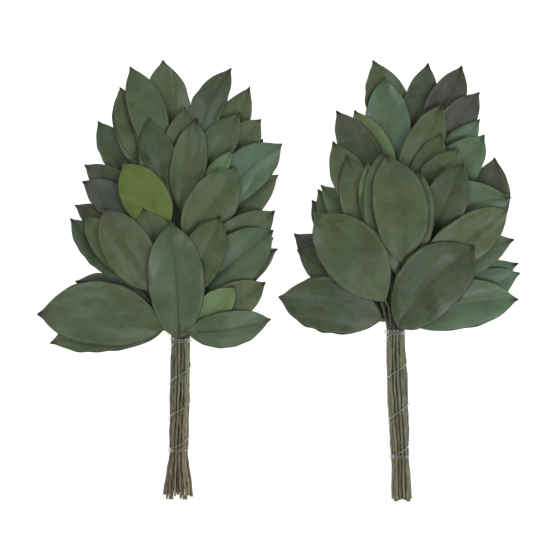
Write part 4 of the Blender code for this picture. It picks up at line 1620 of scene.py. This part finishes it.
@dataclass(frozen=True)
class LeafShape:
    """How a fine leaf is shaped over its blade's net.

    Sizes are in millimetres, and places are shares of the leaf's length. A pair of numbers is the range
    from which each leaf draws its own.
    """

    along: int = 52
    base_rings: Shares = (0.0, 0.004, 0.015, 0.03, 0.045, 0.06, 0.075, 0.092, 0.112, 0.135)
    tip_rings: Shares = (0.905, 0.922, 0.938, 0.951, 0.962, 0.972, 0.981, 0.988, 0.993, 0.9965, 0.9988, 1.0)
    half_columns: Shares = (1.0, 0.985, 0.945, 0.86, 0.74, 0.60, 0.46, 0.32, 0.18)
    rib_column: float = 0.001

    outline_places: Shares = (0.0, 0.04, 0.07, 0.11, 0.17, 0.25, 0.36, 0.48, 0.60, 0.70, 0.79, 0.86, 0.915,
                              0.955, 0.985, 1.0)
    wedge_base: Shares = (0.0, 0.0, 0.09, 0.26, 0.48, 0.72, 0.92)
    blunt_base: Shares = (0.0, 0.06, 0.26, 0.47, 0.66, 0.83, 0.95)
    tie_base: Shares = (0.03, 0.32, 0.47, 0.60, 0.74, 0.87, 0.96)
    blade_end: Shares = (1.0, 0.985, 0.895, 0.745, 0.55, 0.335, 0.155, 0.065, 0.03)
    blunt: Pair = (0.35, 0.85)
    fullest: Pair = (0.94, 1.07)
    tip_half: float = 0.42
    tip_round: float = 0.96
    stalk_half: float = 0.55
    stalk_round: float = 0.015
    body_from: float = 0.05
    body_ease: float = 0.12
    tip_ease: float = 0.10
    wobbles: int = 3
    wobble_turns: Pair = (1.5, 7.0)
    wobble: float = 0.036
    wobble_inward: float = 0.3
    tip_hook: float = 1.1
    hook_from: float = 0.86

    near_tie: float = 12.0
    least_upright: float = 0.3
    tie_edge: float = 1.0
    tie_side: float = 2.0
    tie_lift: float = 1.2
    tie_lift_side: float = 1.3
    tie_lift_from: float = 0.02
    tie_lift_ease: float = 0.13

    fold: Pair = (-0.03, 0.13)
    crown: Pair = (0.15, 1.20)
    drift: Pair = (-0.4, 0.4)
    ripple: Pair = (0.05, 0.45)
    ripple_turns: Pair = (0.9, 1.7)
    wave: Pair = (0.25, 1.20)
    wave_turns: Pair = (1.3, 3.4)
    curl: Pair = (-1.30, 0.60)
    swing: Pair = (0.15, 0.90)
    swing_turns: Pair = (0.7, 1.6)
    tip_bend: Pair = (-1.6, 0.9)
    tip_bend_from: float = 0.78
    dents: int = 5
    dent_along: Pair = (0.15, 0.9)
    dent_across: Pair = (-0.8, 0.8)
    dent_size: Pair = (3.5, 8.0)
    dent_depth: Pair = (-0.55, 0.55)
    dent_narrowing: float = 1.4

    stalk_depth: float = 0.45
    flat_from: float = 0.035
    flat_ease: float = 0.06
    lamina_half: float = 0.17
    lamina_thinning: float = 0.45
    edge_thinning: float = 0.97
    rib_side: float = 0.55
    rib_share: float = 0.12
    rib_ridge: float = 0.30
    rib_groove: float = 0.12
    net_softness: float = 0.10
    floor_gap: float = 0.04

    def rings(self) -> np.ndarray:
        """Give the shares of the length at which the leaf has a ring, closer near its ends.

        Returns:
            The shares, one more than the faces along.
        """
        spare = self.along + 1 - len(self.base_rings) - len(self.tip_rings)
        middle = np.linspace(self.base_rings[-1], self.tip_rings[0], spare + 2)[1:-1]
        return np.concatenate((self.base_rings, middle, self.tip_rings))

    def columns(self) -> tuple[np.ndarray, np.ndarray]:
        """Give the places round the leaf's section, over the top from its right edge and back underneath.

        Returns:
            The shares across from -1 to 1, and which face each is on: 1 for the upper, -1 for the lower.
        """
        half = np.array(self.half_columns)
        top = np.concatenate((-half, [-self.rib_column, 0.0, self.rib_column], half[::-1]))
        across = np.concatenate((top, top[::-1][1:]))
        face = np.concatenate((np.ones(len(top)), -np.ones(len(top) - 1)))
        face[np.abs(across) == 1.0] = 0.0
        return across, face

    def reach(self, blade: Blade) -> float:
        """Find how far the blade of a leaf that starts close to the tie reaches down to it.

        Args:
            blade: The leaf's blade.

        Returns:
            How far, as a share of the leaf's length, or 0 for a leaf with a stalk.
        """
        if blade.root[1] >= self.near_tie or blade.forward[1] <= self.least_upright:
            return 0.0
        down = (blade.root[1] - self.tie_edge) / (blade.length * blade.forward[1])
        return min(down, self.tie_side / (blade.length * max(abs(blade.forward[0]), 0.02)))

    def stalk_end(self, along: np.ndarray) -> np.ndarray:
        """Round the stalk's end off, from 0 at the very end to 1."""
        return np.where(along < self.stalk_round, np.sqrt(np.clip(along / self.stalk_round, 0, 1)), 1.0)

    def half_width(self, blade: Blade, base: np.ndarray, along: np.ndarray, fullest: float) -> np.ndarray:
        """Give the leaf's half width: a blade on a round stalk that draws in to a short blunt tip.

        Args:
            blade: The leaf's blade.
            base: The shares of the full width near the base.
            along: Shares of the length.
            fullest: How far its fullest place moves towards the tip, as a power.

        Returns:
            The half widths.
        """
        shares = np.concatenate((base, self.blade_end))
        shares = smooth_run(np.array(self.outline_places), shares, along**fullest)
        half = blade.leaf.width / 2 * np.maximum(shares, 0)
        end = np.clip((along - self.tip_round) / (1 - self.tip_round), 0, 1)
        tip = np.maximum(half, self.tip_half) * np.sqrt(1 - end**8)
        return np.where(along < 0.5, np.maximum(half, self.stalk_half * self.stalk_end(along)), tip)

    def relief(self, blade: Blade, s: np.ndarray, share: np.ndarray, side: np.ndarray,
               draw: np.random.Generator) -> np.ndarray:
        """Draw the leaf's own soft relief: fold, crowned halves, ripples, waves, curled edges and dents.

        Args:
            blade: The leaf's blade.
            s: Shares of the length.
            share: Shares from the midrib to the edge.
            side: How far to the left of the midrib.
            draw: The source of its irregularities.

        Returns:
            The lift at each point.
        """
        lift = draw.uniform(*self.fold) * np.abs(side)
        lift = lift + draw.uniform(*self.crown) * np.sin(math.pi * share)
        drift = draw.uniform(*self.drift)
        for sign in (-1, 1):
            turns = draw.uniform(*self.ripple_turns) * share + drift * s + draw.uniform()
            ripple = draw.uniform(*self.ripple) * np.sin(2 * math.pi * turns) * np.minimum(share * 2, 1)
            waves = draw.uniform(*self.wave_turns) * s + draw.uniform()
            ripple = ripple + draw.uniform(*self.wave) * np.sin(2 * math.pi * waves) * share**2.2
            ripple = ripple + draw.uniform(*self.curl) * share**4
            lift = lift + np.where(np.sign(side) == sign, ripple, 0.0)
        swing = draw.uniform(*self.swing_turns) * s + draw.uniform()
        lift = lift + draw.uniform(*self.swing) * np.sin(2 * math.pi * swing)
        bent = eased((s - self.tip_bend_from) / (1 - self.tip_bend_from))
        lift = lift + draw.uniform(*self.tip_bend) * bent
        for _ in range(self.dents):
            along = s * blade.length - draw.uniform(*self.dent_along) * blade.length
            beside = side - draw.uniform(*self.dent_across) * blade.leaf.width / 2
            far = (along**2 + (beside * self.dent_narrowing) ** 2) / draw.uniform(*self.dent_size) ** 2
            lift = lift + draw.uniform(*self.dent_depth) * np.exp(-far)
        return lift

    def net_height(self, blade: Blade, s: np.ndarray, side: np.ndarray) -> np.ndarray:
        """Draw the three lines of the blade's net smoothly.

        Args:
            blade: The leaf's blade.
            s: Shares of the length.
            side: How far to the left of the midrib.

        Returns:
            The height at each point.
        """
        lines = smooth_run(np.array(BLADE_STATIONS), blade.net_z, s)
        share = np.clip(np.abs(side) / np.maximum(blade.half_width(s), 0.3), 0, 1)
        least = math.sqrt(self.net_softness)
        soft = (np.sqrt(share**2 + self.net_softness) - least) / (math.sqrt(1 + self.net_softness) - least)
        edge = np.where(side < 0, lines[:, 0], lines[:, 2])
        return lines[:, 1] + (edge - lines[:, 1]) * soft

    def thickness(self, along: np.ndarray, s: np.ndarray, inside: np.ndarray,
                  side: np.ndarray) -> tuple[np.ndarray, np.ndarray]:
        """Give the leaf's thickness: a round stalk, then a blade with its rib below and a groove above.

        Args:
            along: Shares of the length from the blade's very end.
            s: Shares of the length from the root.
            inside: Shares from the midrib to the edge.
            side: How far to the left of the midrib.

        Returns:
            How far the upper and the lower face lie from the middle.
        """
        flat = eased((along - self.flat_from) / self.flat_ease)
        stalk = self.stalk_depth * self.stalk_end(along) * np.sqrt(1 - inside**2)
        thin = self.lamina_half * (1 - self.lamina_thinning * s)
        thin = thin * np.sqrt(1 - self.edge_thinning * inside**6)
        half = stalk * (1 - flat) + thin * flat
        ribbed = np.exp(-(side / self.rib_side) ** 2) * flat * (1 - s) ** 0.7
        return half - self.rib_groove * ribbed, half + self.rib_ridge * ribbed

    def add(self, shell: Shell, setting: Setting, blade: Blade, owner: int,
            draw: np.random.Generator) -> None:
        """Add one leaf to a shell.

        Args:
            shell: The shell.
            setting: What its bunch's pieces share.
            blade: The leaf's blade at rest.
            owner: The leaf's number in its bunch.
            draw: The source of its small irregularities.
        """
        rings = self.rings()
        across, face = self.columns()
        points, rows, around = shell.sheet(len(rings) - 1, len(across) - 1)
        along = rings[rows]
        t = across[around]
        up = face[around]
        reach = self.reach(blade)
        s = along * (1 + reach) - reach
        held = np.maximum(s, 0.0)
        body = eased((along - self.body_from) / self.body_ease)

        # The outline is a little uneven, with a slightly hooked tip
        blunt = draw.uniform(*self.blunt)
        base = np.array(self.wedge_base) * (1 - blunt) + np.array(self.blunt_base) * blunt
        if reach > 0:
            base = np.array(self.tie_base)
        wobble = np.zeros(len(s))
        for _ in range(self.wobbles):
            turns = draw.uniform(*self.wobble_turns)
            start = draw.uniform(0, 2 * math.pi, 2)
            wobble += np.sin(2 * math.pi * turns * s + np.where(t < 0, *start)) / self.wobbles
        half = self.half_width(blade, base, along, draw.uniform(*self.fullest))
        uneven = self.wobble * (wobble - self.wobble_inward) * body * eased((1.0 - s) / self.tip_ease)
        rib = np.sign(t) * np.minimum(self.rib_side, half * self.rib_share)
        side = np.where(np.abs(t) == self.rib_column, rib, t * half * (1 + uneven))
        hook = draw.uniform(-self.tip_hook, self.tip_hook)
        hooked = hook * np.clip((s - self.hook_from) / (1 - self.hook_from), 0, 1) ** 2
        x, y = blade.plan(s, side + hooked)

        # The height follows the net, with the relief that the leaf's neighbours leave room for
        z = self.net_height(blade, held, side)
        if reach > 0:
            lifted = eased(np.abs(side) / self.tie_lift_side)
            lifted = lifted * (1 - eased((s - self.tie_lift_from) / self.tie_lift_ease))
            z = z + self.tie_lift * lifted
        inside = np.clip(np.abs(side) / np.maximum(half, 1e-6), 0, 1)
        relief = self.relief(blade, s, inside, side, draw)
        z = z + squeezed(relief, *setting.room.at(owner, x, y)) * body
        upper, lower = self.thickness(along, held, inside, side)
        closing = np.where(along > self.tip_rings[-2], 0.0, 1.0)
        z = z + np.where(up > 0, upper, np.where(up < 0, -lower, 0.0)) * closing
        z = np.maximum(z, self.floor_gap * (2 + up) - setting.shift[2])

        shell.place(points, (np.column_stack((x, y, z)) + setting.shift) * MM, {
            "side_mm": np.abs(side),
            "across_mm": side,
            "run_mm": s * blade.length,
            "run_share": along,
            "across_share": inside,
            "leaf_draw": np.full(len(s), draw.uniform()),
            "underside": (1 - up) / 2,
        })
        shell.dress(points, setting.palette.leaves[blade.leaf.tone])
        shell.weld(points)


@dataclass(frozen=True)
class StemShape:
    """How a stem is shaped: its rings, its ribs, knots and bends, its bud and its cut, in millimetres."""

    around: int = 16
    step: float = 1.6
    least_rings: int = 24
    thickness: Pair = (0.70, 1.16)
    lobes: tuple[int, ...] = (3, 5, 7)
    ribs: float = 0.055
    rib_turn: float = 0.9
    rib_length: Pair = (11, 23)
    unevenness: float = 0.075
    uneven_length: Pair = (9, 17)
    knot_height: float = 0.26
    knot_size: Pair = (0.4, 1.2)
    knot_length: float = 1.1
    first_knot: Pair = (5, 14)
    knot_every: float = 12.0
    knot_spacing: Pair = (0.7, 1.3)
    last_knot: float = -3.0
    bud_length: float = 5.0
    bud_swell: float = 0.25
    wander: float = 0.24
    long_bend: Pair = (19, 33)
    short_bend: Pair = (8, 14)
    stiff_end: float = 12.0
    stiff_cut: float = 6.0
    slant: float = 0.9
    slant_length: float = 2.2
    bark_depth: float = 0.12

    def line(self, laid: "FineSprig", y: np.ndarray) -> np.ndarray:
        """Find the stem's centre line.

        Args:
            laid: The sprig where it lies.
            y: Places up the bunch.

        Returns:
            One point for each place.
        """
        slot = laid.bunch.slot(laid.sprig)
        heights = np.concatenate(([BUNDLE_HEIGHT + slot[1]], laid.course[:, 2]))
        upper = smooth_run(np.concatenate(([0.0], laid.course[:, 1])), heights, np.maximum(y, 0.0))
        line = np.zeros((len(y), 3))
        for row, place in enumerate(y):
            if place <= 0:
                x, z = laid.bunch.handle_point(slot, float(place))
            else:
                x, z = stem_course(laid.sprig, slot[0], place), upper[row]
            line[row] = (x, place, z)
        return line

    def radii(self, along: np.ndarray, angle: np.ndarray, total: float, knots: list[float],
              draw: np.random.Generator) -> np.ndarray:
        """Find the stem's radius all round and all along: tapered, ribbed, knotted and closed in a bud.

        Args:
            along: How far up the bunch each point is.
            angle: Its angle round the stem.
            total: Where the stem ends.
            knots: How far up its knots are.
            draw: The source of its irregularities.

        Returns:
            The radii.
        """
        radius = STEM_RADIUS + (TWIG_RADIUS - STEM_RADIUS) * np.clip(along / total, 0, 1)
        radius = radius * draw.uniform(*self.thickness)
        waves = 2 * math.pi * along / draw.uniform(*self.uneven_length) + draw.uniform(0, 6)
        radius = radius * (1 + self.unevenness * np.sin(waves) * np.cos(angle + draw.uniform(0, 6)))
        for lobes in self.lobes:
            turned = draw.uniform(0, 2 * math.pi)
            winding = np.sin(along / draw.uniform(*self.rib_length) + draw.uniform(0, 6))
            radius = radius * (1 + self.ribs * np.cos(lobes * angle + turned + self.rib_turn * winding))
        for knot in knots:
            one_side = 0.45 + 0.55 * np.cos(angle - draw.uniform(0, 2 * math.pi))
            swell = np.exp(-((along - knot) / self.knot_length) ** 2) * one_side
            radius = radius + self.knot_height * draw.uniform(*self.knot_size) * swell
        bud = np.clip((total - along) / self.bud_length, 0, 1)
        return radius * np.where(bud < 1, np.sqrt(bud) * (1 + self.bud_swell * (1 - bud)), 1.0)

    def add(self, shell: Shell, setting: Setting, laid: "FineSprig", draw: np.random.Generator) -> None:
        """Add one stem to a shell, from its cut end to its bud.

        Args:
            shell: The shell.
            setting: What its bunch's pieces share.
            laid: The sprig where it lies.
            draw: The source of its small irregularities.
        """
        cut = laid.cut
        total = float(laid.course[-1][1])
        y = np.linspace(cut, total, max(int((total - cut) / self.step), self.least_rings) + 1)
        line = self.line(laid, y)
        free = eased((total - y) / self.stiff_end) * eased((y - cut) / self.stiff_cut)
        for axis in (0, 2):
            bends = np.sin(2 * math.pi * (y / draw.uniform(*self.long_bend) + draw.uniform()))
            bends += 0.5 * np.sin(2 * math.pi * (y / draw.uniform(*self.short_bend) + draw.uniform()))
            line[:, axis] += self.wander / 1.5 * bends * free
        points, rows, angle, out = shell.tube(line, self.around, (0.0, 0.0, 1.0))
        along = y[rows]
        first_knot = cut + draw.uniform(*self.first_knot)
        knots = np.arange(first_knot, self.last_knot, self.knot_every * draw.uniform(*self.knot_spacing))
        roots = [float(blade.root[1]) for blade in laid.blades]
        radius = self.radii(along, angle, total, roots + list(knots), draw)
        places = line[rows] + out * radius[:, None]
        lean = draw.uniform(0, 2 * math.pi)
        slanted = self.slant * draw.uniform(0.2, 1.0) * (1 + np.cos(angle - lean)) / 2
        places[:, 1] += slanted * np.clip(1 - (along - cut) / (self.slant_length * self.step), 0, 1)
        shell.place(points, (places + setting.shift) * MM, {
            "run_mm": along - cut,
            "run_share": np.clip(along / total, 0, 1),
            "leaf_draw": np.full(len(rows), draw.uniform()),
            "browned": np.full(len(rows), laid.bunch.browned),
        })
        shell.dress(points, setting.palette.bark)
        first = [point for point, row in zip(points, rows) if row == 0]
        shell.weld(points)
        shell.cap(first, setting.palette.cut, self.bark_depth * MM)


@dataclass
class FineSprig:
    """One leafy sprig in full detail: its stem and its leaves, in place of its solid."""

    bunch: Bunch
    number: int
    sprig: Sprig
    course: np.ndarray
    blades: list[Blade]
    first_leaf: int
    cut: float
    leaf_shape: LeafShape = LeafShape()
    stem_shape: StemShape = StemShape()

    def build(self, setting: Setting) -> bpy.types.Object:
        """Build and dress the sprig.

        Args:
            setting: What its bunch's pieces share.

        Returns:
            The piece.
        """
        node = f"{self.bunch.name}_sprig_{self.number:02d}"
        draw = np.random.default_rng(1000 * self.bunch.seed + self.number)
        shell = Shell(f"{node}_grown")
        front = self.sprig.leaves[-1].tone
        shell.material_slot(setting.palette.leaves[front])
        for owner, blade in enumerate(self.blades, start=self.first_leaf):
            self.leaf_shape.add(shell, setting, blade, owner, draw)
        self.stem_shape.add(shell, setting, self, draw)
        piece = shell.finish()
        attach(piece, "root")
        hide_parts(node)
        return piece


@dataclass
class TieThread:
    """The clear thread of one bunch: close turns at the upper tie, open ones, and close turns again."""

    bunch: Bunch
    turns: Shares = (3.0, 3.0, 2.5)
    top: float = 1.4
    spare: float = 0.25
    first_angle: float = 0.25
    samples_a_turn: int = 180
    step: float = 1.1
    around: int = 8
    radius: float = 0.33

    def point(self, turn: float, y: float) -> Spot:
        """Find where the thread lies round the bundle.

        Args:
            turn: Its angle in turns.
            y: How far up the bunch it is.

        Returns:
            Its place across the bunch and its height.
        """
        angle = 2 * math.pi * (self.first_angle + turn)
        out = np.array((math.cos(angle), math.sin(angle)))
        slots = [self.bunch.slot(sprig) for sprig in self.bunch.sprigs]
        places = np.array([self.bunch.handle_point(slot, y) for slot in slots])
        outermost = places[int(np.argmax(places @ out))]
        x, z = outermost + out * (STEM_RADIUS + GAP + THREAD_SLACK + THREAD_RADIUS)
        return float(x), float(z)

    def wound(self, samples_a_turn: int) -> tuple[np.ndarray, np.ndarray, np.ndarray]:
        """Divide the winding.

        Args:
            samples_a_turn: How many parts a turn has.

        Returns:
            The turns at which each kind of winding ends, how far up the bunch those are, and the samples.
        """
        pitch = 2 * THREAD_RADIUS + self.spare
        ends = np.cumsum((0.0, *self.turns))
        upper_end = self.top - self.turns[0] * pitch
        lower = -self.bunch.tie_spacing + pitch
        levels = np.array((self.top, upper_end, lower, lower - self.turns[-1] * pitch))
        return ends, levels, np.linspace(0, ends[-1], int(ends[-1] * samples_a_turn) + 1)

    def solid_middle(self) -> np.ndarray:
        """Find the middle and the lowest point of the thread's solid where the bunch is laid.

        Returns:
            The middle across and up the bunch, and the lowest height.
        """
        ends, levels, samples = self.wound(SOLID_THREAD_SAMPLES)
        laid = np.array([self.point(float(turn), float(np.interp(turn, ends, levels))) for turn in samples])
        across = (laid[:, 0].min() + laid[:, 0].max()) / 2
        return np.array((across, (levels[0] + levels[-1]) / 2, laid[:, 1].min() - THREAD_RADIUS))

    def route(self) -> np.ndarray:
        """Draw the thread's centre line, which climbs evenly as it goes round.

        Returns:
            Its points, evenly spaced.
        """
        ends, levels, samples = self.wound(self.samples_a_turn)
        y = np.interp(samples, ends, levels)
        for _ in range(2):
            section = np.array([self.point(float(turn), float(level)) for turn, level in zip(samples, y)])
            run = lengths_along(section)
            y = np.interp(run, np.interp(ends, samples, run), levels)
        line = np.column_stack((section[:, 0], y, section[:, 1]))
        whole = lengths_along(line)
        stops = np.linspace(0, whole[-1], int(whole[-1] / self.step) + 1)
        return np.column_stack([np.interp(stops, whole, line[:, axis]) for axis in range(3)])

    def build(self, setting: Setting) -> bpy.types.Object:
        """Build and dress the thread.

        Args:
            setting: What its bunch's pieces share.

        Returns:
            The piece.
        """
        line = self.route()
        node = f"{self.bunch.name}_thread"
        shell = Shell(f"{node}_wound")
        points, rows, _, out = shell.tube(line, self.around, (0.0, 1.0, 0.0))
        taper = np.where((rows == 0) | (rows == len(line) - 1), 0.0, 1.0)
        places = line[rows] + out * (self.radius * taper)[:, None]
        shell.place(points, (places + setting.shift) * MM, {})
        shell.dress(points, setting.palette.thread)
        shell.weld(points)
        piece = shell.finish()
        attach(piece, "root")
        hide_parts(node)
        return piece


@dataclass
class FineBunch:
    """One bunch in full detail: laid as its solids were, and then built sprig by sprig, with its thread."""

    bunch: Bunch

    def shift(self, thread: TieThread) -> np.ndarray:
        """Find how far the bunch lies from the origin, from the box of its thread's solid.

        Args:
            thread: The bunch's thread.

        Returns:
            The shift in millimetres.
        """
        low, high = (np.array(corner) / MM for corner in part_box(f"{self.bunch.name}_thread"))
        seen = np.array(((low[0] + high[0]) / 2, (low[1] + high[1]) / 2, low[2]))
        return seen - thread.solid_middle()

    def build(self, palette: Palette) -> list[bpy.types.Object]:
        """Lay the bunch and build its pieces.

        Args:
            palette: The materials.

        Returns:
            The pieces.
        """
        thread = TieThread(self.bunch)
        shift = self.shift(thread)
        LOG.info("%s bunch lies %.2f, %.2f, %.2f mm from the origin", self.bunch.name, *shift)
        draw = np.random.default_rng(self.bunch.seed)
        pile = Pile()
        laid = []
        leaves: list[Blade] = []
        for number, sprig in enumerate(self.bunch.sprigs, start=1):
            course, blades = lay_sprig(sprig, self.bunch, pile, draw)
            cut = -self.bunch.handle + float(draw.uniform(0.0, self.bunch.ragged))
            laid.append(FineSprig(self.bunch, number, sprig, course, blades, len(leaves), cut))
            leaves += blades
        room = Room(leaves, pile.stem_points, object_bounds()[1][2] / MM - shift[2])
        setting = Setting(palette, room, shift)
        pieces = [fine.build(setting) for fine in laid]
        pieces.append(thread.build(setting))
        for piece in pieces:
            LOG.info("%s: %d faces", piece.name, len(piece.data.polygons))
        return pieces


@dataclass(frozen=True)
class Lamp:
    """One soft square lamp: its name, its place, how wide it is, and its power."""

    name: str
    place: Triple
    size: float
    power: float

    def hang(self, aim: Spot) -> None:
        """Hang the lamp so that it faces a place on the sheet.

        Args:
            aim: The place.
        """
        data = bpy.data.lights.new(self.name, "AREA")
        data.shape = "SQUARE"
        data.size = self.size
        data.energy = self.power
        lamp = bpy.data.objects.new(self.name, data)
        lamp.location = self.place
        heading = Vector((*aim, 0.0)) - Vector(self.place)
        lamp.rotation_euler = heading.to_track_quat("-Z", "Y").to_euler()
        bpy.context.scene.collection.objects.link(lamp)


@dataclass
class Studio:
    """The white sheet, the soft lamps and the camera straight above, as in the photograph."""

    middle: Spot = (0.00093, 0.00026)
    camera_height: float = 2.0
    view_width: float = 0.35392
    sensor: float = 36.0
    far_end: float = 10.0
    sheet_size: float = 3.0
    sheet_squares: int = 8
    lamps: tuple[Lamp, ...] = (
        Lamp("key_lamp", (0.75, -0.65, 1.30), 0.8, 10.0),
        Lamp("fill_lamp", (-0.7, 0.6, 1.5), 1.4, 5.0),
    )
    sky: float = 0.40

    def lay_sheet(self) -> None:
        """Lay the white sheet."""
        sheet = bmesh.new()
        squares = self.sheet_squares
        bmesh.ops.create_grid(sheet, x_segments=squares, y_segments=squares, size=self.sheet_size / 2)
        mesh = bpy.data.meshes.new("white_sheet")
        sheet.to_mesh(mesh)
        sheet.free()
        mesh.materials.append(PaperFinish().material())
        floor = bpy.data.objects.new("white_sheet", mesh)
        bpy.context.scene.collection.objects.link(floor)
        floor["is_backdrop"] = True

    def set_camera(self) -> None:
        """Set the camera up straight above the middle of the pair."""
        data = bpy.data.cameras.new("camera_above")
        data.sensor_width = self.sensor
        data.lens = self.sensor * self.camera_height / self.view_width
        data.clip_end = self.far_end
        camera = bpy.data.objects.new("camera_above", data)
        camera.location = (*self.middle, self.camera_height)
        bpy.context.scene.collection.objects.link(camera)
        bpy.context.scene.camera = camera

    def build(self) -> None:
        """Lay the sheet, hang the lamps, light the air and set the camera up."""
        self.lay_sheet()
        for lamp in self.lamps:
            lamp.hang(self.middle)
        world = bpy.data.worlds.new("studio_air")
        world.use_nodes = True
        air = world.node_tree.nodes["Background"]
        air.inputs["Color"].default_value = (1.0, 1.0, 1.0, 1.0)
        air.inputs["Strength"].default_value = self.sky
        bpy.context.scene.world = world
        self.set_camera()
        bpy.context.scene.view_settings.view_transform = "Standard"
        LOG.info("studio: sheet, %d lamps and a camera %.2f m above", len(self.lamps), self.camera_height)


def main() -> None:
    """Load the frame, and build both bunches and the studio."""
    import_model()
    palette = Palette()
    for bunch in (LEFT_BUNCH, RIGHT_BUNCH):
        FineBunch(bunch).build(palette)
    Studio().build()


if __name__ == "__main__":
    main()
